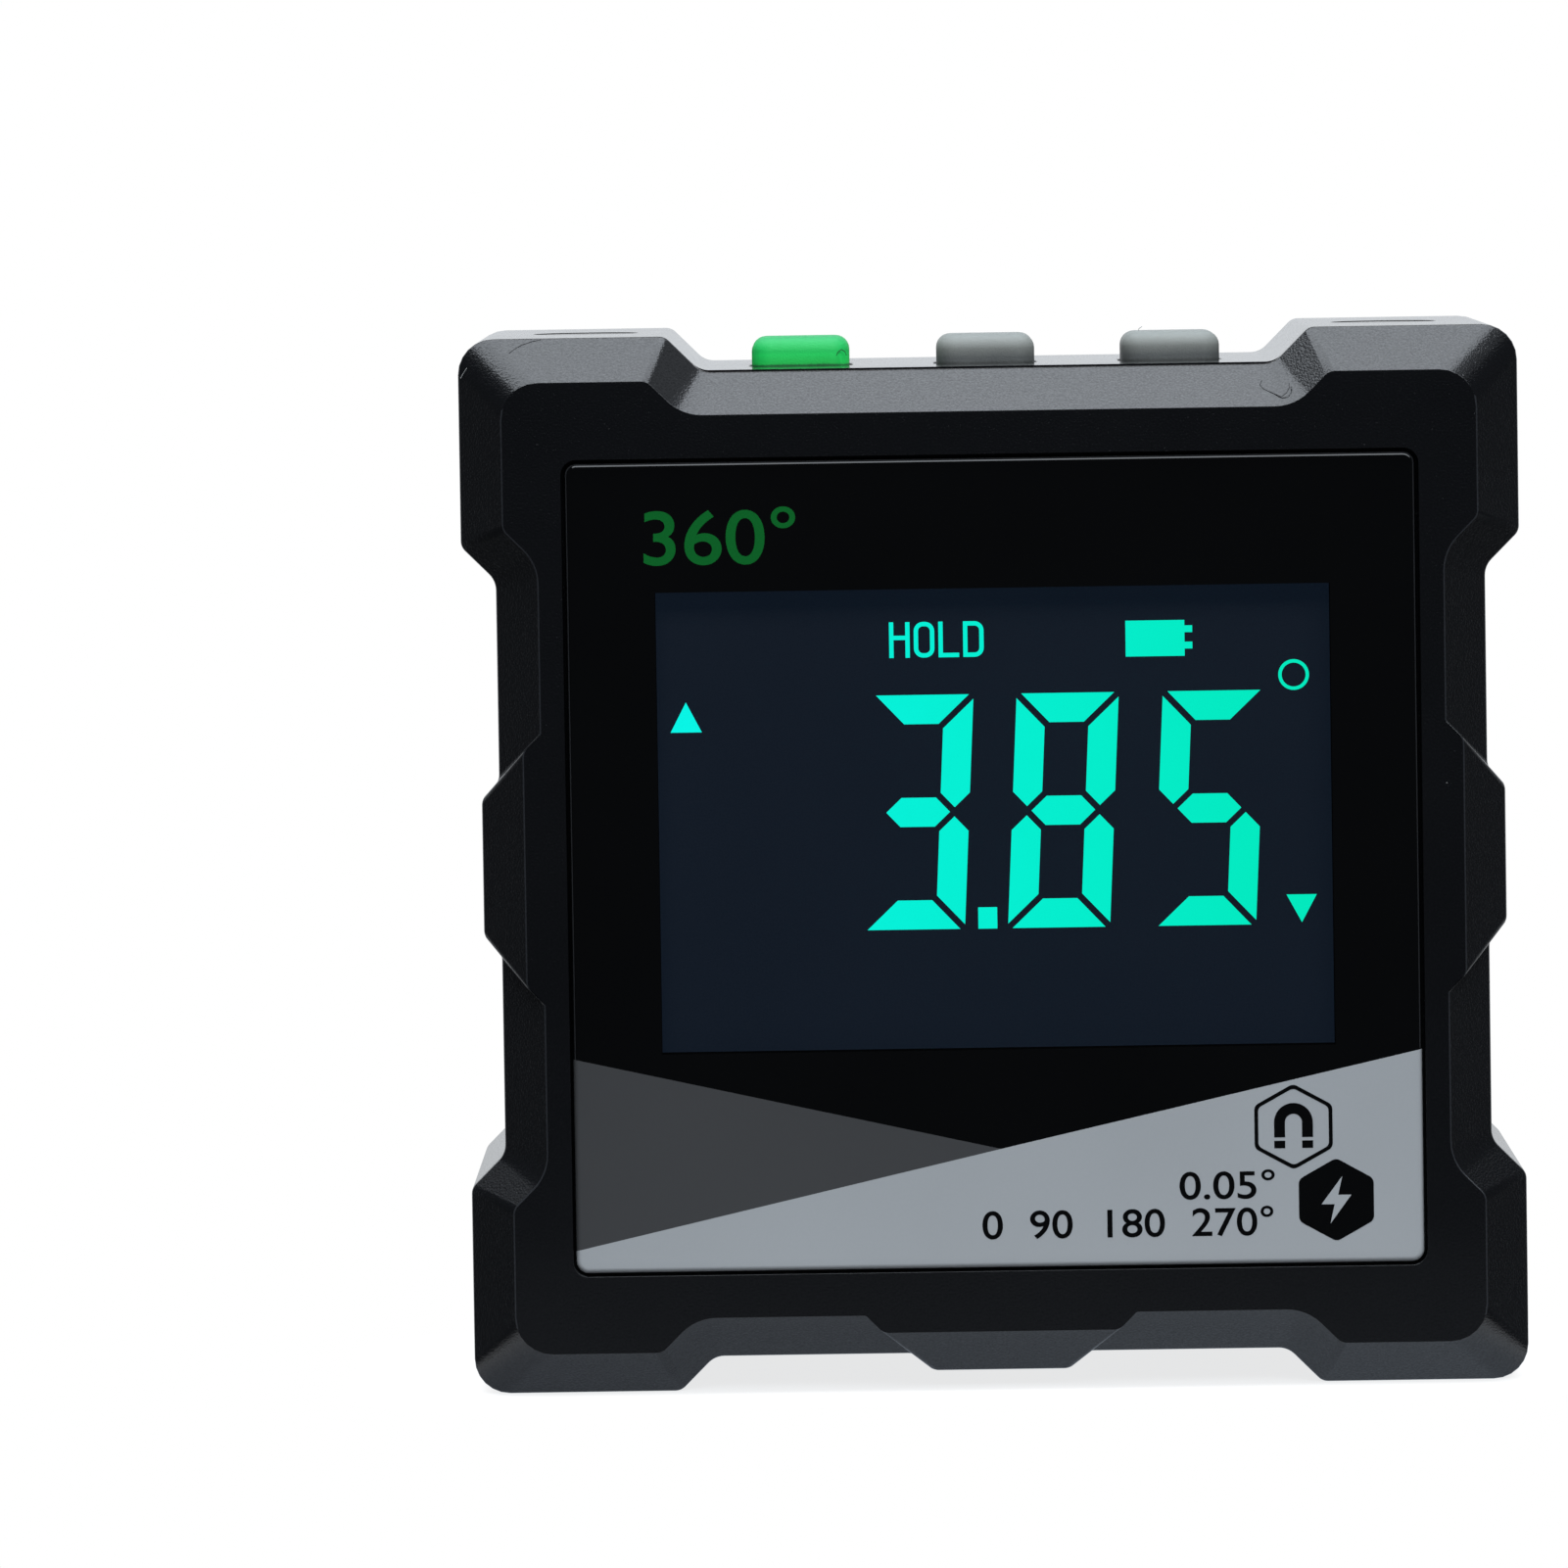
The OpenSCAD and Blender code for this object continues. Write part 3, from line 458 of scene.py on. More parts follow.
solder_mask = mottled("solder_mask", (0.02, 0.13, 0.05, 1.0), 0.32, 0.8 * MM, 0.01 * MM)
chip_resin = mottled("chip_resin", (0.02, 0.02, 0.022, 1.0), 0.5, 0.1 * MM, 0.01 * MM)
white_diffuser = mottled("white_diffuser", (0.8, 0.82, 0.8, 1.0), 0.45, 0.3 * MM, 0.01 * MM)
plunger_cream = mottled("plunger_cream", (0.55, 0.5, 0.38, 1.0), 0.5, 0.3 * MM, 0.01 * MM)
cell_foil = mottled("cell_foil", (0.6, 0.61, 0.62, 1.0), 0.3, 1.2 * MM, 0.05 * MM, metallic=1.0)
black_foam = mottled("black_foam", (0.02, 0.02, 0.02, 1.0), 0.85, 0.25 * MM, 0.08 * MM)
red_wire = mottled("red_wire", (0.5, 0.02, 0.02, 1.0), 0.45, 0.3 * MM, 0.01 * MM)
print(len(bpy.data.materials), "materials so far")

# %% [markdown]
# The inner pieces keep their CAD shape, so the finish goes straight into their material slots.

# %% Finishes go on the pieces that keep their CAD shape
KEPT = {
    "housing_gasket": seal_rubber,
    "window_tape": black_foam,
    "lcd_glass": field,
    "lcd_backlight": white_diffuser,
    "lcd_carrier": white_diffuser,
    "contact_strip": seal_rubber,
    "main_board": solder_mask,
    "charge_board": solder_mask,
    "board_screws": zinc,
    "charge_board_screws": zinc,
    "usb_socket": zinc,
    "battery_cell": cell_foil,
    "battery_pad": black_foam,
    "battery_leads": red_wire,
}
CHIPS = ["processor_chip", "tilt_sensor", "charge_chip", "link_socket", "link_header"]
KEPT.update({name: chip_resin for name in CHIPS})
for key in ("power", "hold", "unit"):
    KEPT[f"{key}_switch"] = chip_resin
    KEPT[f"{key}_plunger"] = plunger_cream


def coat(piece, *materials):
    piece.data.materials.clear()
    for material in materials:
        piece.data.materials.append(material)


for name, material in KEPT.items():
    coat(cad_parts[name], material)
print("finished", len(KEPT), "inner pieces")

# %% [markdown]
# CAD edges are perfectly sharp, and nothing moulded is. A copy of a CAD piece is cleaned first: loose
# triangles are merged and coplanar ones joined, so that only real edges are left. Then the edges that
# bend outwards by more than a set angle are rounded with a bevel. The bevel could be a live modifier, but
# picking the edges by their place needs the mesh in hand.

# %% Clean copies with rounded edges
MERGE = 0.0005 * MM
FLAT_BEND = math.radians(0.4)
SHARP_BEND = math.radians(24)


def clean_copy(node):
    shape = bmesh.new()
    shape.from_mesh(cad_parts[node].data)
    bmesh.ops.remove_doubles(shape, verts=shape.verts, dist=MERGE)
    bmesh.ops.dissolve_limit(shape, angle_limit=FLAT_BEND, verts=shape.verts, edges=shape.edges)
    return shape


def round_edges(shape, radius, steps, chosen, finish=0):
    edges = [
        edge for edge in shape.edges
        if edge.is_manifold and edge.is_convex and edge.calc_face_angle() > SHARP_BEND and chosen(edge)
    ]
    made = bmesh.ops.bevel(shape, geom=edges, offset=radius, segments=steps, profile=0.5, affect="EDGES",
                           material=-1, clamp_overlap=False)
    for face in made["faces"]:
        face.material_index = finish
    return len(edges)


print("edges that bend outwards by more than", round(math.degrees(SHARP_BEND)), "degrees can be rounded")

# %% [markdown]
# A finished bmesh becomes an object that rides on a body and takes its materials. One that stands in for a
# CAD piece also hides that piece. Beside a narrow round, smooth shading would run out over the whole flat
# face, so such a piece gets a modifier that weights the normals by the size of the faces.

# %% From a bmesh to a piece
SMOOTH_BEND = math.radians(38)
FACE_WEIGHT = 90


def piece_from(shape, name, body, slot, *materials):
    """A new object from a bmesh, smooth shaded, that rides on a body."""
    mesh = bpy.data.meshes.new(name)
    for material in materials:
        mesh.materials.append(material)
    for face in shape.faces:
        face.smooth = True
    shape.to_mesh(mesh)
    shape.free()
    mesh.set_sharp_from_angle(angle=SMOOTH_BEND)
    piece = bpy.data.objects.new(name, mesh)
    bpy.context.scene.collection.objects.link(piece)
    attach(piece, body)
    return piece


def stand_in(shape, node, name, body, slot, *materials):
    """A piece that is shown in place of a CAD node."""
    piece = piece_from(shape, name, body, slot, *materials)
    modifier = piece.modifiers.new("even_normals", "WEIGHTED_NORMAL")
    modifier.keep_sharp = True
    modifier.weight = FACE_WEIGHT
    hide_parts(node)
    return piece


print("bends of more than", round(math.degrees(SMOOTH_BEND)), "degrees stay sharp in the shading")

# %% [markdown]
# Bezel and housing have four kinds of outer edge. On the left and right, the edge between the face and its
# wide chamfer is a little rounder and takes a lighter plastic, a painted highlight that draws a thin light
# line there. The face's other edges and the rims of the magnets' pockets are crisp. The seam between bezel
# and housing is a fine line, and all other edges are a little rounder. An edge is told by its place, so each
# kind has a short function.

# %% Which edge is which
OUTER_SKIN = 2.9 * MM
POCKET_ROOM = 0.3 * MM
SEAM_REACH = 0.2 * MM
FACE_REACH = 0.01 * MM
RECESS_HALF = 16.5 * MM
RECESS_BAND = 2 * MM
KEY_STEP = 1.0 * MM
HIGHLIGHT_SIDE = 25 * MM
HIGHLIGHT_LOW, HIGHLIGHT_HIGH = 4 * MM, 56.3 * MM
seam_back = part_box("rear_housing")[0].y
recess_z = KEY_TOP - KEY_STEP
magnets = [name for name in sorted(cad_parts) if name.startswith("magnet")]
pockets = [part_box(name) for name in magnets]


def halfway(edge):
    return (edge.verts[0].co + edge.verts[1].co) / 2


def on_skin(edge):
    """True for an edge on the outside of the gauge."""
    place = halfway(edge)
    near = [min(place[k] - cad_low[k], cad_high[k] - place[k]) for k in range(3)]
    return min(near) < OUTER_SKIN


def at_pocket(edge):
    """True for an edge of the pocket that holds a magnet."""
    place = halfway(edge)
    room = Vector((POCKET_ROOM, POCKET_ROOM, POCKET_ROOM))
    boxes = [(low - room, high + room) for low, high in pockets]
    return any(all(low[k] < place[k] < high[k] for k in range(3)) for low, high in boxes)


def at_seam(edge):
    """True for an outer edge where the bezel and the housing meet."""
    gap = max(abs(vertex.co.y - seam_back) for vertex in edge.verts)
    return gap < SEAM_REACH and on_skin(edge)


def under_keys(edge):
    """True for an edge at the floor of the recess that the keys stand in."""
    return all(abs(v.co.x) < RECESS_HALF and recess_z - RECESS_BAND < v.co.z < recess_z for v in edge.verts)


def on_face(edge):
    """True for an edge of the bezel's flat face."""
    return all(vertex.co.y < cad_low.y + FACE_REACH for vertex in edge.verts)


def painted_highlight(edge):
    """True for an edge between face and chamfer on the left or right, which gets a painted highlight."""
    beside = all(abs(v.co.x) > HIGHLIGHT_SIDE and HIGHLIGHT_LOW < v.co.z < HIGHLIGHT_HIGH for v in edge.verts)
    return beside and on_face(edge)


def crisp(edge):
    return on_face(edge) or at_pocket(edge)


def outer(edge):
    return on_skin(edge) and not at_seam(edge) and not crisp(edge)


print(len(pockets), "magnet pockets; the seam lies", round((seam_back - cad_low.y) / MM, 2), "mm back")

# %% [markdown]
# Bezel and housing are flush, except in the top recess: there the housing stands a step higher and was left
# sharp, which shows as a dark line below the keys. The kinds of edge are rounded one after the other, each
# with its own radius. A bevel can overshoot a little where an edge runs out in a point, so at the end no
# vertex is left in front of the bezel's face.

# %% Bezel and housing
SEAM_ROUND = 0.03 * MM
HIGHLIGHT_ROUND = 0.05 * MM
FACE_ROUND = 0.015 * MM
EDGE_ROUND = 0.1 * MM


def shell(node, name):
    shape = clean_copy(node)
    counts = [
        round_edges(shape, SEAM_ROUND, 2, lambda edge: at_seam(edge) and not under_keys(edge)),
        # finish 1 is the lighter plastic of the painted highlight
        round_edges(shape, HIGHLIGHT_ROUND, 3, painted_highlight, finish=1),
        round_edges(shape, FACE_ROUND, 2, crisp),
        round_edges(shape, EDGE_ROUND, 4, outer),
    ]
    for vertex in shape.verts:
        vertex.co.y = max(vertex.co.y, cad_low.y)
    piece = stand_in(shape, node, name, "gauge_body", "black_abs", black_plastic, highlight_plastic)
    print(name, "has", counts, "seam, rubbed, crisp and outer edges and", len(piece.data.polygons), "faces")


shell("front_bezel", "bezel_shell")
shell("rear_housing", "housing_shell")

# %% [markdown]
# The window is cut, not moulded, and its edge is polished round, which the CAD plate already has. What
# the copy needs is the print. Planes cut the plate along the edges of each ink, and each face then takes
# the ink of the field that it lies in, the rounded edge too. So the colours bend over the edge as the real
# ones seem to. Places are in millimetres, right and up from the middle of the gauge.

# %% Lines between the inks
VIEW_LOW = Vector((-19.0, -10.6))
VIEW_HIGH = Vector((19.15, 15.57))
GREY_TIP = Vector((0.12, -16.25))
GREY_LEFT = -24.1
GREY_TOP = -10.8
GREY_FOOT = -21.73
SILVER_RIGHT = Vector((23.9, -10.95))
CUT_REACH = 0.0001 * MM
grey_top = (Vector((GREY_LEFT, GREY_TOP)), GREY_TIP)
grey_foot = (Vector((GREY_LEFT, GREY_FOOT)), GREY_TIP)
silver_top = (GREY_TIP, SILVER_RIGHT)
corners = [Vector((x, y)) for x in (VIEW_LOW.x, VIEW_HIGH.x) for y in (VIEW_LOW.y, VIEW_HIGH.y)]
view_lines = [(corners[start], corners[end]) for start, end in ((0, 1), (2, 3), (0, 2), (1, 3))]


def spot(right, up, y):
    """A point in metres from millimetres right and up of the gauge's middle."""
    return Vector((middle.x + right * MM, y, middle.z + up * MM))


def above(point, start, end):
    """How far a point lies to the left of a line, seen from the front."""
    along = end - start
    return along.x * (point.y - start.y) - along.y * (point.x - start.x)


def cut_along(shape, start, end):
    along = end - start
    everything = shape.verts[:] + shape.edges[:] + shape.faces[:]
    bmesh.ops.bisect_plane(shape, geom=everything, dist=CUT_REACH, plane_co=spot(start.x, start.y, 0),
                           plane_no=(-along.y, 0, along.x))


shape = clean_copy("display_window")
whole = len(shape.faces)
for line in (*view_lines, grey_top, grey_foot, silver_top):
    cut_along(shape, *line)
print("the window's", whole, "faces are cut into", len(shape.faces))

# %% [markdown]
# Now the middle of each face tells its ink. The view over the display stays clear, on the front and on the
# back. On the rounded edge the way a face looks counts too: along the top and the sides the bare acrylic
# shows, in a lighter grey that is a painted reflection, and the edge at the foot takes a near white, a
# painted highlight where it gathers light.

# %% The printed window
INKS = (ink_black, ink_silver, ink_grey, pane_front, pane_back, bare_edge_reflection, foot_edge_highlight)
BLACK, SILVER, GREY, CLEAR_FRONT, CLEAR_BACK, BARE_REFLECTION_EDGE, PALE_EDGE = range(len(INKS))
BARE_FROM, BARE_TO = 0.75, 0.85
PALE_FROM, PALE_TO = 0.7, 0.95


def ink_of(face):
    """Which ink a face of the window lies in, as its place in the list of inks."""
    centre = face.calc_center_median() - middle
    point = Vector((centre.x, centre.z)) / MM
    if VIEW_LOW.x < point.x < VIEW_HIGH.x and VIEW_LOW.y < point.y < VIEW_HIGH.y:
        return CLEAR_FRONT if face.normal.y < 0 else CLEAR_BACK
    # The bare rounded edge takes a lighter grey, a painted reflection.
    if BARE_FROM < -face.normal.y < BARE_TO and above(point, *silver_top) > 0 and point.y > GREY_TOP:
        return BARE_REFLECTION_EDGE
    # The edge at the foot takes a near white, a painted highlight.
    if PALE_FROM < -face.normal.z < PALE_TO and face.normal.y < 0:
        return PALE_EDGE
    if point.x < GREY_TIP.x:
        if above(point, *grey_foot) < 0:
            return SILVER
        return GREY if above(point, *grey_top) < 0 else BLACK
    return SILVER if above(point, *silver_top) < 0 else BLACK


for face in shape.faces:
    face.material_index = ink_of(face)
window = stand_in(shape, "display_window", "printed_window", "gauge_body", "window_acrylic", *INKS)
counts = [sum(face.material_index == k for face in window.data.polygons) for k in range(len(INKS))]
print("window faces in black, silver, grey, clear front, clear back, bare and pale edge:", counts)

# %% [markdown]
# Print and lit segments are flat shapes. Each starts as one face in the plane of the front and is pulled
# out by a hair, so that it catches light from any side and never fights with the surface under it.

# %% Thin plates for print and lit marks
PRINT_THICK = 0.012 * MM
LIT_THICK = 0.02 * MM


def add_face(shape, points, y):
    """A flat face through points in millimetres right and up of the gauge's middle."""
    return shape.faces.new([shape.verts.new(spot(right, up, y)) for right, up in points])


def pull_out(shape, thick):
    """Gives flat faces in the front plane a thickness towards the front."""
    pulled = bmesh.ops.extrude_face_region(shape, geom=shape.faces[:])
    moved = [part for part in pulled["geom"] if isinstance(part, bmesh.types.BMVert)]
    bmesh.ops.translate(shape, verts=moved, vec=(0, -thick, 0))
    bmesh.ops.recalc_face_normals(shape, faces=shape.faces[:])


def arc(centre, radius, start, end, steps):
    """Points on an arc, angles in degrees from the right, counted upwards."""
    angles = [math.radians(start + (end - start) * k / steps) for k in range(steps + 1)]
    return [(centre[0] + radius * math.cos(a), centre[1] + radius * math.sin(a)) for a in angles]


def rim(shape, points, y):
    """A closed loop of edges through points in millimetres."""
    ends = [shape.verts.new(spot(right, up, y)) for right, up in points]
    return [shape.edges.new((ends[k - 1], ends[k])) for k in range(len(ends))]


def ring_faces(shape, outline, hole, y):
    """A band between two closed outlines with as many points."""
    bmesh.ops.bridge_loops(shape, edges=rim(shape, outline, y) + rim(shape, hole, y))


print("print stands out by", PRINT_THICK / MM, "mm and lit marks by", LIT_THICK / MM, "mm")

# %% [markdown]
# A seven-segment digit has three bars and four uprights with mitred ends. One function lists the corners
# of each segment for a digit of a given width, height and stroke, with a small gap at every mitre. The
# digits lean a little to the right, so each corner is slid along by its height.

# %% Digits of the display
DIGIT_W = 5.8
DIGIT_H = 13.35
STROKE = 1.66
MITRE_GAP = 0.26
LEAN = math.tan(math.radians(2.9))
DIGIT_FOOT = -3.92
LIT_SEGMENTS = {"3": "abgcd", "8": "abcdefg", "5": "afgcd"}
READING = (("3", -7.52), ("8", 0.73), ("5", 9.03))


def segment_corners(letter):
    """Corners of one segment from the lower left of the digit, in millimetres."""
    w, h, t, g = DIGIT_W, DIGIT_H, STROKE, MITRE_GAP
    half = h / 2
    bar = [(g, h), (w - g, h), (w - t - g, h - t), (t + g, h - t)]
    post = [(0, h - g), (t, h - t - g), (t, half + t / 2 + g), (t / 2, half + g), (0, half + t / 2 + g)]
    middle_bar = [
        (t / 2 + g, half), (t + g, half + t / 2), (w - t - g, half + t / 2),
        (w - t / 2 - g, half), (w - t - g, half - t / 2), (t + g, half - t / 2),
    ]
    corners = {"a": bar, "d": bar, "g": middle_bar}.get(letter, post)
    if letter in "bc":
        corners = [(w - right, up) for right, up in corners]
    if letter in "cde":
        corners = [(right, h - up) for right, up in corners]
    return corners


print("a digit is", DIGIT_W, "by", DIGIT_H, "mm and leans by", round(LEAN * DIGIT_H, 2), "mm")

# %% [markdown]
# Each digit is one piece: the corners of its lit segments become faces on the front of the display glass,
# and all of them are pulled out together.


# %% Digits on the display glass
def lit_piece(shape, name):
    pull_out(shape, LIT_THICK)
    return piece_from(shape, name, "gauge_body", "lcd", glow)


def lit_box(shape, left, low, right, high):
    add_face(shape, [(left, low), (right, low), (right, high), (left, high)], lcd_low.y)


for order, (digit, left) in enumerate(READING):
    shape = bmesh.new()
    for letter in LIT_SEGMENTS[digit]:
        leaning = [(left + right + LEAN * up, DIGIT_FOOT + up) for right, up in segment_corners(letter)]
        add_face(shape, leaning, lcd_low.y)
    lit_piece(shape, f"digit_{order + 1}")
print("lit digits:", [digit for digit, left in READING])

# %% [markdown]
# Beside the digits the display shows a decimal point, a degree ring, two triangles that tell which way
# to turn and a battery.

# %% Small marks of the display
RING_STEPS = 40
POINT_BOX = (-0.955, -3.93, 0.125, -2.71)
shape = bmesh.new()
lit_box(shape, *POINT_BOX)
lit_piece(shape, "decimal_point")

DEGREE_MIDDLE = (17.145, 10.27)
DEGREE_RADII = (0.875, 0.68)
outline, hole = (arc(DEGREE_MIDDLE, radius, 0, 360, RING_STEPS)[:-1] for radius in DEGREE_RADII)
shape = bmesh.new()
ring_faces(shape, outline, hole, lcd_low.y)
lit_piece(shape, "degree_ring")

TURN_MARKS = {
    "mark_up": [(-18.28, 7.49), (-16.5, 7.49), (-17.39, 9.2)],
    "mark_down": [(16.58, -2.24), (17.44, -3.83), (18.3, -2.24)],
}
for name, corners in TURN_MARKS.items():
    shape = bmesh.new()
    add_face(shape, corners, lcd_low.y)
    lit_piece(shape, name)

BATTERY = (7.63, 11.43, 10.98, 13.47)
NUB_ROOT = BATTERY[2] - 0.05
NUB_END = 11.42
NUB_TALL = 0.39
NUB_TOPS = (BATTERY[3] - 0.31, BATTERY[3] - 1.24)
shape = bmesh.new()
lit_box(shape, *BATTERY)
for top in NUB_TOPS:
    lit_box(shape, NUB_ROOT, top - NUB_TALL, NUB_END, top)
lit_piece(shape, "battery_mark")
print("lit marks: a point, a ring,", len(TURN_MARKS), "triangles and a battery")

# %% [markdown]
# The word HOLD is drawn by the display's own narrow strokes: posts, bars and two rings with round corners.

# %% The word on the display
WORD_LEFT, WORD_LOW = -5.79, 11.55
LETTER_W, LETTER_H, LETTER_PITCH = 1.17, 2.03, 1.40
PEN = 0.25
LEAST_CORNER = 0.02
CORNER_STEPS = 6


def round_box(left, low, right, high, corners):
    """Outline of a box with a radius for each corner, from the lower left round by the right."""
    radii = [max(radius, LEAST_CORNER) for radius in corners]
    middles = [
        (left + radii[0], low + radii[0]), (right - radii[1], low + radii[1]),
        (right - radii[2], high - radii[2]), (left + radii[3], high - radii[3]),
    ]
    turns = [arc(middles[k], radii[k], 180 + 90 * k, 270 + 90 * k, CORNER_STEPS) for k in range(4)]
    return [point for turn in turns for point in turn]


def ring_letter(shape, left, corners):
    right, high = left + LETTER_W, WORD_LOW + LETTER_H
    outline = round_box(left, WORD_LOW, right, high, corners)
    hole = round_box(left + PEN, WORD_LOW + PEN, right - PEN, high - PEN, [r - PEN for r in corners])
    ring_faces(shape, outline, hole, lcd_low.y)


BOW = 0.52
lefts = [WORD_LEFT + k * LETTER_PITCH for k in range(4)]
word_top = WORD_LOW + LETTER_H
bar_low = WORD_LOW + LETTER_H * 0.5
shape = bmesh.new()
for post in (lefts[0], lefts[0] + LETTER_W - PEN, lefts[2]):
    lit_box(shape, post, WORD_LOW, post + PEN, word_top)
lit_box(shape, lefts[0] + PEN, bar_low, lefts[0] + LETTER_W - PEN, bar_low + PEN)
lit_box(shape, lefts[2] + PEN, WORD_LOW, lefts[2] + LETTER_W, WORD_LOW + PEN)
ring_letter(shape, lefts[1], (BOW, BOW, BOW, BOW))
ring_letter(shape, lefts[3], (0, BOW, BOW, 0))
lit_piece(shape, "word_hold")
print("the word is", round(lefts[3] + LETTER_W - lefts[0], 2), "by", LETTER_H, "mm")

# %% [markdown]
# Printed numbers start as Blender text, which is turned into a flat mesh at once. The mesh is scaled to the
# height of the real print, stood upright and pulled out like the other marks. Only plain numbers are used.

# %% Printed numbers
LETTER_SWELL = 0.008
LETTER_MERGE = 1e-5


def word_shape(text, left, low, width, height, y):
    """Flat letters that fill a box given in millimetres, standing in the front plane."""
    letters = bpy.data.curves.new("letters", "FONT")
    letters.body = text
    letters.offset = LETTER_SWELL
    holder = bpy.data.objects.new("letters", letters)
    bpy.context.scene.collection.objects.link(holder)
    bpy.context.view_layer.update()
    mesh = bpy.data.meshes.new_from_object(holder.evaluated_get(bpy.context.evaluated_depsgraph_get()))
    shape = bmesh.new()
    shape.from_mesh(mesh)
    bpy.data.objects.remove(holder)
    bpy.data.curves.remove(letters)
    bpy.data.meshes.remove(mesh)
    bmesh.ops.remove_doubles(shape, verts=shape.verts, dist=LETTER_MERGE)
    low_x, high_x = (pick(v.co.x for v in shape.verts) for pick in (min, max))
    low_y, high_y = (pick(v.co.y for v in shape.verts) for pick in (min, max))
    for vertex in shape.verts:
        right = left + (vertex.co.x - low_x) / (high_x - low_x) * width
        up = low + (vertex.co.y - low_y) / (high_y - low_y) * height
        vertex.co = spot(right, up, y)
    return shape


def printed_piece(shape, name, material, thick=PRINT_THICK):
    pull_out(shape, thick)
    return piece_from(shape, name, "gauge_body", "window_acrylic", material)


PRINTED = (
    ("360°", "number_range", (-19.6, 17.1, 8.6, 3.26), ink_green),
    ("0.05°", "number_step", (10.2, -19.3, 5.4, 1.67), ink_black),
    ("0  90  180  270°", "number_sides", (-1.0, -21.4, 16.5, 1.7), ink_black),
)
for text, name, box, material in PRINTED:
    printed_piece(word_shape(text, *box, window_low.y), name, material)
print("printed", [row[0] for row in PRINTED])

# %% [markdown]
# Two small hexagons at the lower right tell that the sides hold by magnets and that the cell can be
# charged. Their corners are rounded by a curve that leaves one side and runs into the next. The first
# hexagon is an outline round a horseshoe magnet with parted tips.

# %% Magnet pictogram
HEX_CORNER = 0.28
HEX_STEPS = 6


def hexagon(centre, height, width, corner):
    """A pointed-top hexagon with rounded corners, as points."""
    half = [(0, height / 2), (width / 2, height / 4), (width / 2, -height / 4)]
    tips = half + [(-x, -y) for x, y in half]
    points = []
    for k, tip in enumerate(tips):
        here = Vector(tip)
        before = (Vector(tips[k - 1]) - here).normalized() * corner
        after = (Vector(tips[(k + 1) % len(tips)]) - here).normalized() * corner
        for step in range(HEX_STEPS + 1):
            t = step / HEX_STEPS
            bend = here + (1 - t) ** 2 * before + t ** 2 * after
            points.append((centre[0] + bend.x, centre[1] + bend.y))
    return points


MAGNET_HEX = (16.7, -15.23)
MAGNET_HEX_H, MAGNET_HEX_W = 4.88, 4.43
LINE = 0.22
BOW_OUT, BOW_IN, BOW_RISE, BOW_STEPS = 1.1, 0.48, 0.25, 20
LEG_LONG = 0.85
TIP_FROM, TIP_TO = 0.19, 0.62
bow_x, bow_z = MAGNET_HEX[0], MAGNET_HEX[1] + BOW_RISE
leg_low = bow_z - LEG_LONG
tip_low, tip_high = leg_low - TIP_TO, leg_low - TIP_FROM
shape = bmesh.new()
outline = hexagon(MAGNET_HEX, MAGNET_HEX_H, MAGNET_HEX_W, HEX_CORNER)
hole = hexagon(MAGNET_HEX, MAGNET_HEX_H - 2.3 * LINE, MAGNET_HEX_W - 2 * LINE, HEX_CORNER * 0.85)
ring_faces(shape, outline, hole, window_low.y)
bow = arc((bow_x, bow_z), BOW_OUT, 0, 180, BOW_STEPS)
hollow = arc((bow_x, bow_z), BOW_IN, 180, 0, BOW_STEPS)
left_leg = [(bow_x - BOW_OUT, leg_low), (bow_x - BOW_IN, leg_low)]
right_leg = [(bow_x + BOW_IN, leg_low), (bow_x + BOW_OUT, leg_low)]
add_face(shape, bow + left_leg + hollow + right_leg, window_low.y)
for side in (-1, 1):
    x0, x1 = bow_x + side * BOW_IN, bow_x + side * BOW_OUT
    add_face(shape, [(x0, tip_low), (x1, tip_low), (x1, tip_high), (x0, tip_high)], window_low.y)
sign = printed_piece(shape, "magnet_sign", ink_black)
print("magnet pictogram with", len(sign.data.polygons), "faces")

# %% [markdown]
# The second hexagon is filled, with a bolt in it. The bolt is printed on top, a little thicker.

# %% Charging pictogram
CHARGE_HEX = (19.08, -19.42)
CHARGE_HEX_H, CHARGE_HEX_W = 4.75, 4.25
BOLT = [(0.35, 1.35), (-0.85, -0.25), (-0.1, -0.25), (-0.35, -1.35), (0.85, 0.28), (0.1, 0.28)]
shape = bmesh.new()
add_face(shape, hexagon(CHARGE_HEX, CHARGE_HEX_H, CHARGE_HEX_W, HEX_CORNER), window_low.y)
printed_piece(shape, "charge_sign", ink_black)
shape = bmesh.new()
add_face(shape, [(CHARGE_HEX[0] + x, CHARGE_HEX[1] + z) for x, z in BOLT], window_low.y)
bolt = printed_piece(shape, "charge_bolt", ink_silver, 1.5 * PRINT_THICK)
print("charging pictogram with a bolt of", len(BOLT), "corners and", len(bolt.data.polygons), "faces")

# %% [markdown]
# The keys are moulded in soft rubber, and their round edges are already in the CAD shape, so they only need
# smooth shading. The plug and the magnets get small rounds like the shell. The housing's screws lie deep in
# their holes and keep the CAD shape.

# %% Keys, plug, magnets and screws
PLUG_ROUND = 0.15 * MM
DISC_ROUND = 0.03 * MM
KEYS = (("power", key_green, "key_green"), ("hold", key_grey, "key_grey"), ("unit", key_grey, "key_grey"))


def everywhere(edge):
    return True


for key, material, slot in KEYS:
    stand_in(clean_copy(f"{key}_key"), f"{key}_key", f"{key}_key_cap", f"{key}_button", slot, material)

shape = clean_copy("port_plug")
rounded = round_edges(shape, PLUG_ROUND, 3, everywhere)
stand_in(shape, "port_plug", "port_plug_rubber", "plug_flap", "silicone_dark", plug_rubber)

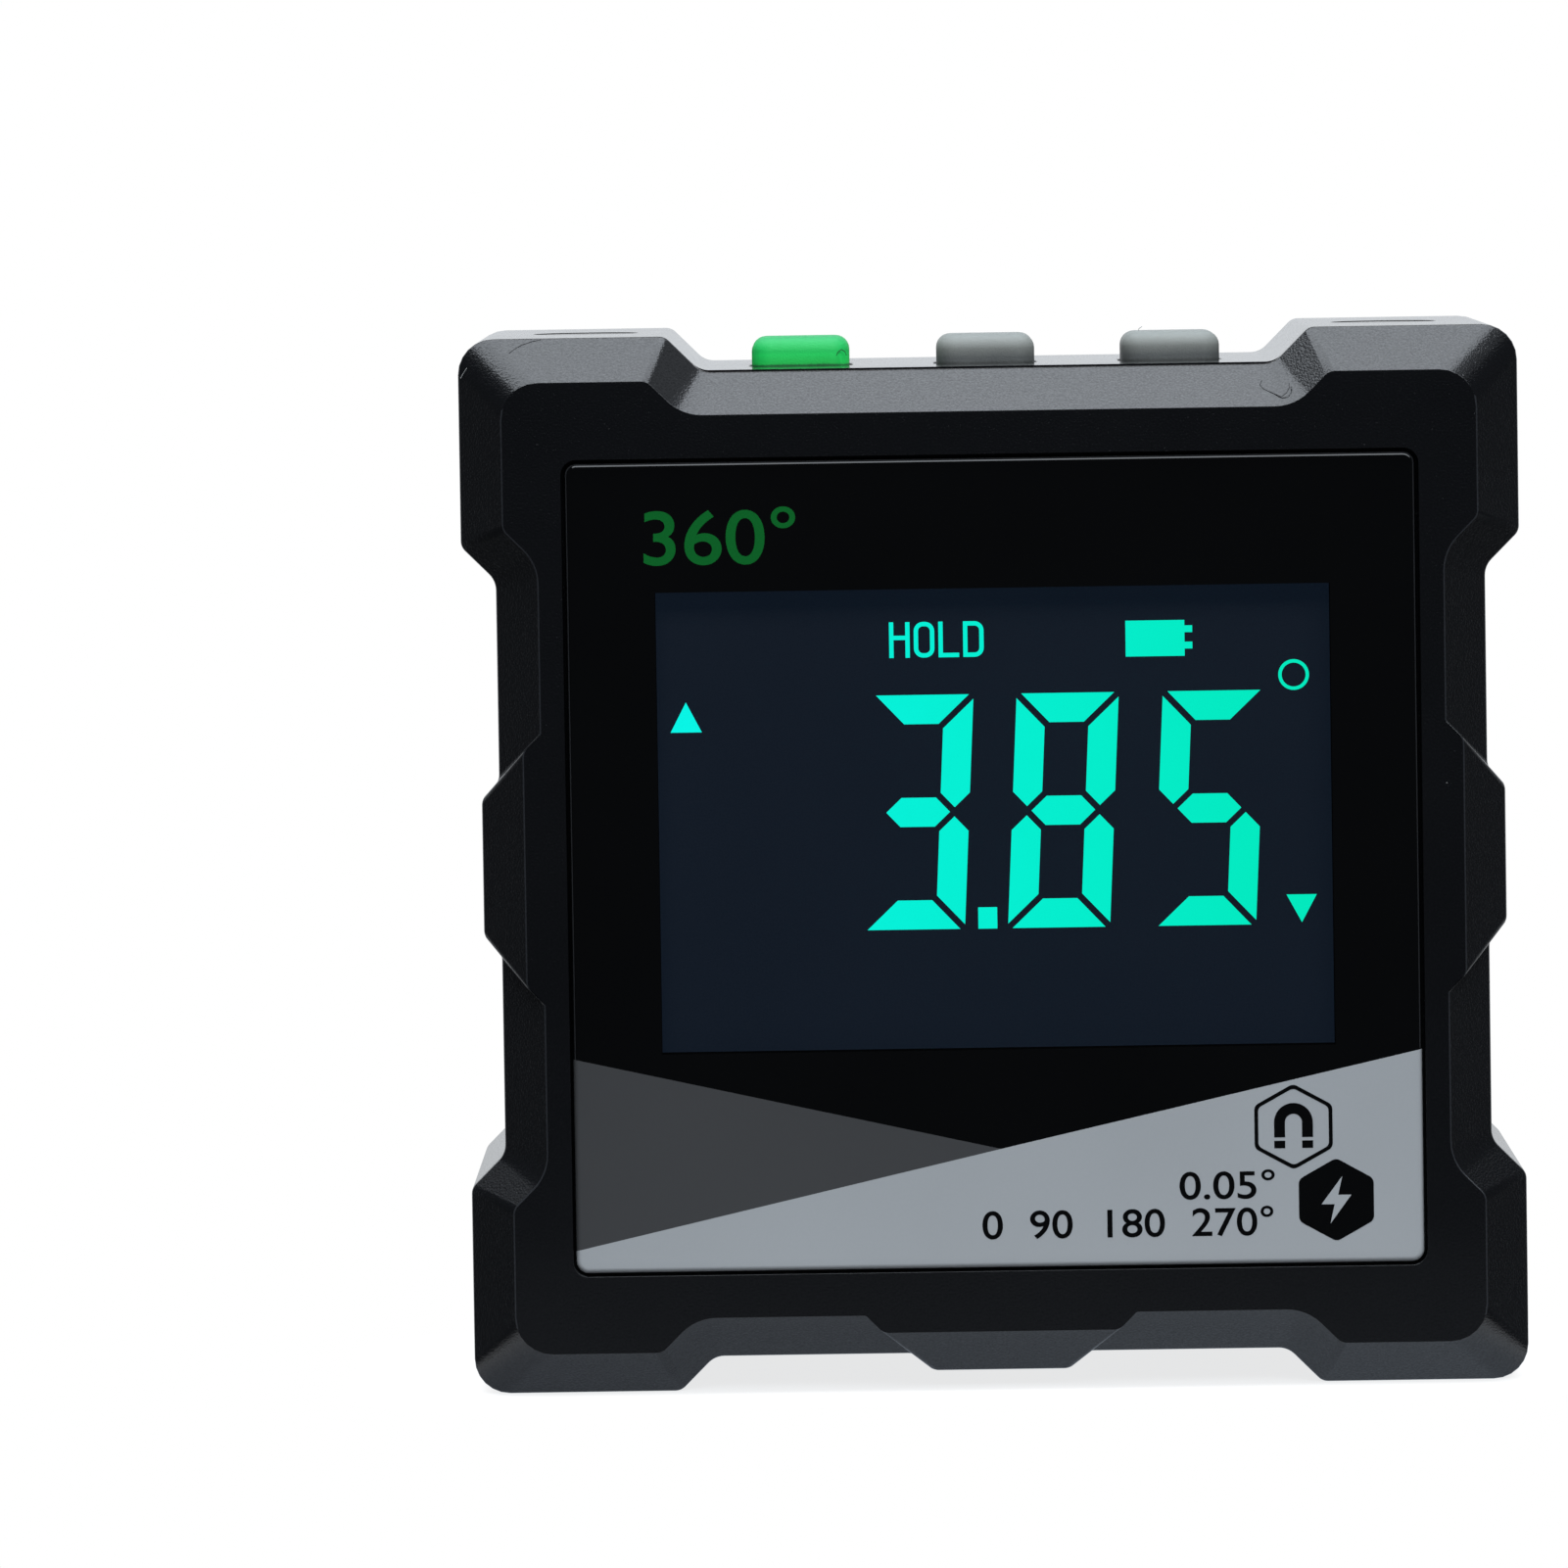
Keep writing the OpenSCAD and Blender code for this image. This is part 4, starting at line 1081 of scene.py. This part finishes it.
for name in magnets:
    shape = clean_copy(name)
    round_edges(shape, DISC_ROUND, 2, everywhere)
    stand_in(shape, name, f"{name}_disc", "gauge_body", "magnet", dark_nickel)
coat(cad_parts["housing_screws"], zinc)
print(len(KEYS), "keys, a plug with", rounded, "rounded edges and", len(magnets), "magnet discs")

# %% [markdown]
# Dust is part of the photograph: a few fibres lie on the chamfers and on two keys. Each is a thin tube
# along a few places, in millimetres from the gauge's origin. A ring of points is laid round every place, at
# right angles to the way there, and joined to the next ring. The first and the last ring are closed.

# %% Lint
FIBRE_R = 0.022 * MM
FIBRE_SIDES = 6
dark_lint = mottled("dark_lint", (0.012, 0.012, 0.013, 1.0), 0.6, 0.2 * MM, 0.002 * MM)
pale_lint = mottled("pale_lint", (0.62, 0.62, 0.6, 1.0), 0.6, 0.2 * MM, 0.002 * MM)
LINT = (
    ("hair_on_pad", "gauge_body", "black_abs", dark_lint,
     [(-27.04, -13.24, 59.21), (-26.72, -12.98, 59.45), (-26.32, -12.76, 59.66), (-25.79, -12.58, 59.83),
      (-25.26, -12.47, 59.93)]),
    ("curl_on_chamfer", "gauge_body", "black_abs", dark_lint,
     [(15.51, -13.39, 57.04), (15.38, -13.67, 56.79), (15.56, -13.92, 56.57), (15.86, -14.09, 56.42),
      (16.16, -14.26, 56.29), (16.55, -14.56, 56.11), (16.85, -14.6, 56.33), (17.01, -14.44, 56.62),
      (17.01, -14.16, 56.88)]),
    ("hair_on_green_key", "power_button", "key_green", dark_lint,
     [(-8.55, -5.1, 58.63), (-8.45, -5.1, 58.82), (-8.26, -5.09, 58.97), (-8.05, -5.1, 58.83),
      (-7.97, -5.1, 58.63)]),
    ("fibre_on_grey_key", "unit_button", "key_grey", pale_lint,
     [(8.8, -2.0, 59.6), (8.86, -2.02, 59.83), (9.05, -2.06, 59.96)]),
    ("fibre_on_corner", "gauge_body", "black_abs", pale_lint,
     [(-29.84, -12.75, 57.81), (-29.66, -12.94, 58.12), (-29.48, -13.12, 58.39)]),
)


def fibre(name, body, slot, material, places):
    shape = bmesh.new()
    path = [Vector(place) * MM for place in places]
    angles = [2 * math.pi * step / FIBRE_SIDES for step in range(FIBRE_SIDES)]
    rings = []
    for k, here in enumerate(path):
        along = path[min(k + 1, len(path) - 1)] - path[max(k - 1, 0)]
        turned = along.to_track_quat("Z", "X")
        points = [here + turned @ Vector((math.cos(a), math.sin(a), 0)) * FIBRE_R for a in angles]
        rings.append([shape.verts.new(point) for point in points])
    for first, second in zip(rings, rings[1:]):
        for k in range(FIBRE_SIDES):
            nxt = (k + 1) % FIBRE_SIDES
            shape.faces.new((first[k], first[nxt], second[nxt], second[k]))
    shape.faces.new(rings[0][::-1])
    shape.faces.new(rings[-1])
    bmesh.ops.recalc_face_normals(shape, faces=shape.faces[:])
    return piece_from(shape, name, body, slot, material)


for row in LINT:
    fibre(*row)
print("laid", len(LINT), "fibres")

# %% [markdown]
# The floor is a pale light table: a disc that glows by itself, so that only a faint cast shadow is left
# under the gauge. Near the gauge's feet its glow for the camera is darker, a painted contact shadow. It
# fades out, so that no edge shows against the white world behind it, by mixing with a transparent shader as
# the distance from the gauge's feet grows. It fades early, because a wide white floor would shine on the
# lower half of every black face. The lower chamfers mirror what lies right under them, which is in the shade
# of the gauge, so mirrored rays meet a darker and cooler glow there: a painted shade, deeper on the left.

# %% Floor
FLOOR_RADIUS = 0.075
FLOOR_SIDES = 96
FOOT_INSET = 2.6 * MM
SHADE_END = 4.2 * MM
FADE_FROM = 4.6 * MM
FADE_END = 10.6 * MM
MIRROR_END = 10 * MM
FLOOR_GRAIN = 1.2 * MM
FLOOR_DROP = 0.01 * MM
WHITE = (1.0, 1.0, 1.0, 1.0)


def pale_floor(name):
    paint = finish_named(name)

    def vectors(operation, first, second=(0, 0, 0), out=0):
        return paint.node("ShaderNodeVectorMath", {"operation": operation}, {0: first, 1: second}, out)

    def ramp(value, start, end, kind="LINEAR"):
        sockets = {"Value": value, "From Min": start, "From Max": end}
        return paint.node("ShaderNodeMapRange", {"interpolation_type": kind}, sockets)

    foot = (cad_high - cad_low) / 2 - Vector((FOOT_INSET, FOOT_INSET, 0))
    apart = vectors("ABSOLUTE", vectors("SUBTRACT", paint.place(), middle))
    outside = vectors("MAXIMUM", vectors("SUBTRACT", apart, foot))
    far = vectors("LENGTH", outside, out="Value")
    across = 0.5 + paint.axis("X") * (1 / (cad_high.x - cad_low.x))
    # The glow is shaded by paint: darker and cooler under the gauge for mirrored rays, deeper on the left,
    # and a faint painted contact shadow near the feet for the camera.
    painted_shade_under = paint.blend(across, (0.31, 0.35, 0.41, 1.0), (0.48, 0.55, 0.64, 1.0))
    mirrored_painted_shade = paint.blend(ramp(far, FOOT_INSET, MIRROR_END), painted_shade_under, WHITE)
    seen = paint.blend(ramp(far, 0.0, SHADE_END, "SMOOTHSTEP"), (0.78, 0.785, 0.79, 1.0), WHITE)
    straight = paint.node("ShaderNodeLightPath", out="Is Camera Ray")
    grain = paint.noise(FLOOR_GRAIN, 3.0)
    body = paint.node("ShaderNodeBsdfPrincipled", sockets={
        "Base Color": paint.blend(grain, (0.15, 0.15, 0.15, 1.0), (0.18, 0.18, 0.18, 1.0)),
        "Roughness": 1.0,
        "Specular IOR Level": 0.0,
        "Emission Color": paint.blend(straight, mirrored_painted_shade, seen),
        "Emission Strength": 1.0,
    })
    clear = paint.node("ShaderNodeBsdfTransparent")
    fade = ramp(far, FADE_FROM, FADE_END, "SMOOTHSTEP")
    return paint.show(paint.node("ShaderNodeMixShader", sockets={0: fade, 1: body, 2: clear}))


shape = bmesh.new()
bmesh.ops.create_circle(shape, cap_ends=True, segments=FLOOR_SIDES, radius=FLOOR_RADIUS)
bmesh.ops.translate(shape, verts=shape.verts, vec=(0, 0, cad_low.z - FLOOR_DROP))
floor_mesh = bpy.data.meshes.new("pale_floor")
shape.to_mesh(floor_mesh)
shape.free()
floor = bpy.data.objects.new("pale_floor", floor_mesh)
bpy.context.scene.collection.objects.link(floor)
coat(floor, pale_floor("pale_floor"))
print("floor is", 2 * FLOOR_RADIUS, "m across")

# %% [markdown]
# The photograph was lit by a wide soft box overhead, which the top chamfers mirror. A second, longer one
# softens its edge. A fill, high in front, lights the print and the keys, and stays out of what the glossy
# window mirrors. A faint strip behind lines the rear edges, and a weak glow from the table in front lifts
# the lower half of the face. Area lights give soft shadows and clean reflections. They are hidden from the
# camera itself.

# %% Soft lights
COOL = (0.87, 0.93, 1.0)
LIGHTS = (
    ("soft_box", (-0.09, 0, 0.56), (-0.09, 0, 0.03), 0.70, 0.46, 3.3),
    ("soft_edge", (-0.05, 0, 0.58), (-0.05, 0, 0.03), 1.4, 0.46, 0.8),
    ("front_fill", (0.14, -0.62, 0.53), (0, 0, 0.03), 0.8, 0.50, 6.2),
    ("back_strip", (0, 0.75, 0.13), (0, 0, 0.06), 1.2, 0.24, 0.2),
    ("table_glow", (0.06, -0.052, 0.001), (0.06, -0.052, 0.1), 0.3, 0.064, 0.0065),
)


def soft_light(name, place, aim, width, height, power):
    data = bpy.data.lights.new(name, "AREA")
    data.shape = "RECTANGLE"
    data.size = width
    data.size_y = height
    data.energy = power
    data.color = COOL
    lamp = bpy.data.objects.new(name, data)
    bpy.context.scene.collection.objects.link(lamp)
    lamp.location = place
    lamp.rotation_euler = (Vector(aim) - Vector(place)).to_track_quat("-Z", "Y").to_euler()
    lamp.visible_camera = False
    return lamp


for row in LIGHTS:
    soft_light(*row)
print("soft lights:", [row[0] for row in LIGHTS])

# %% [markdown]
# What the lights leave open, the glossy faces mirror from the room: dark in front, white walls behind. A
# ramp along the depth gives that in one world shader. What the camera sees directly is plain white.

# %% Room
world = Paint(bpy.data.worlds.new("studio"))
bpy.context.scene.world = world.owner
ray = world.node("ShaderNodeTexCoord", out="Generated")
depth = world.node("ShaderNodeSeparateXYZ", sockets={"Vector": ray}, out="Y")
ROOM = [(0.0, (0.016, 0.018, 0.022)), (0.3, (0.024, 0.026, 0.030)), (0.58, (0.05, 0.054, 0.06)),
        (0.72, (0.30, 0.317, 0.338)), (0.86, (0.58, 0.60, 0.63)), (1.0, (0.62, 0.64, 0.66))]
room = world.node("ShaderNodeValToRGB", {"stops": ROOM}, {"Fac": 0.5 + 0.5 * depth})
straight = world.node("ShaderNodeLightPath", out="Is Camera Ray")
seen = world.blend(straight, room, WHITE)
world.show(world.node("ShaderNodeBackground", sockets={"Color": seen, "Strength": 1.0}))
bpy.context.scene.view_settings.view_transform = "Standard"
print("room with", len(ROOM), "shades from front to back")

# %% [markdown]
# The camera stands far off with a long lens, a little above the gauge, turned and rolled by under a
# degree, which was worked out from the corners of the gauge in the photograph.

# %% Camera
EYE = Vector((-0.007421, -0.678616, 0.073234))
SENSOR = 36.0
LENS = 269.89
PITCH, YAW, ROLL = (math.radians(angle) for angle in (3.3260, -0.3833, -0.8881))
camera_data = bpy.data.cameras.new("camera")
camera_data.sensor_width = SENSOR
camera_data.lens = LENS
camera_data.clip_start = 0.01
camera_data.clip_end = 10
camera = bpy.data.objects.new("camera", camera_data)
bpy.context.scene.collection.objects.link(camera)
aim = Matrix.Rotation(-YAW, 4, "Z") @ Matrix.Rotation(math.pi / 2 - PITCH, 4, "X")
camera.matrix_world = Matrix.Translation(EYE) @ aim @ Matrix.Rotation(ROLL, 4, "Z")
bpy.context.scene.camera = camera
print("camera is", round(EYE.length, 2), "m away with a lens of", LENS, "mm")

# %% [markdown]
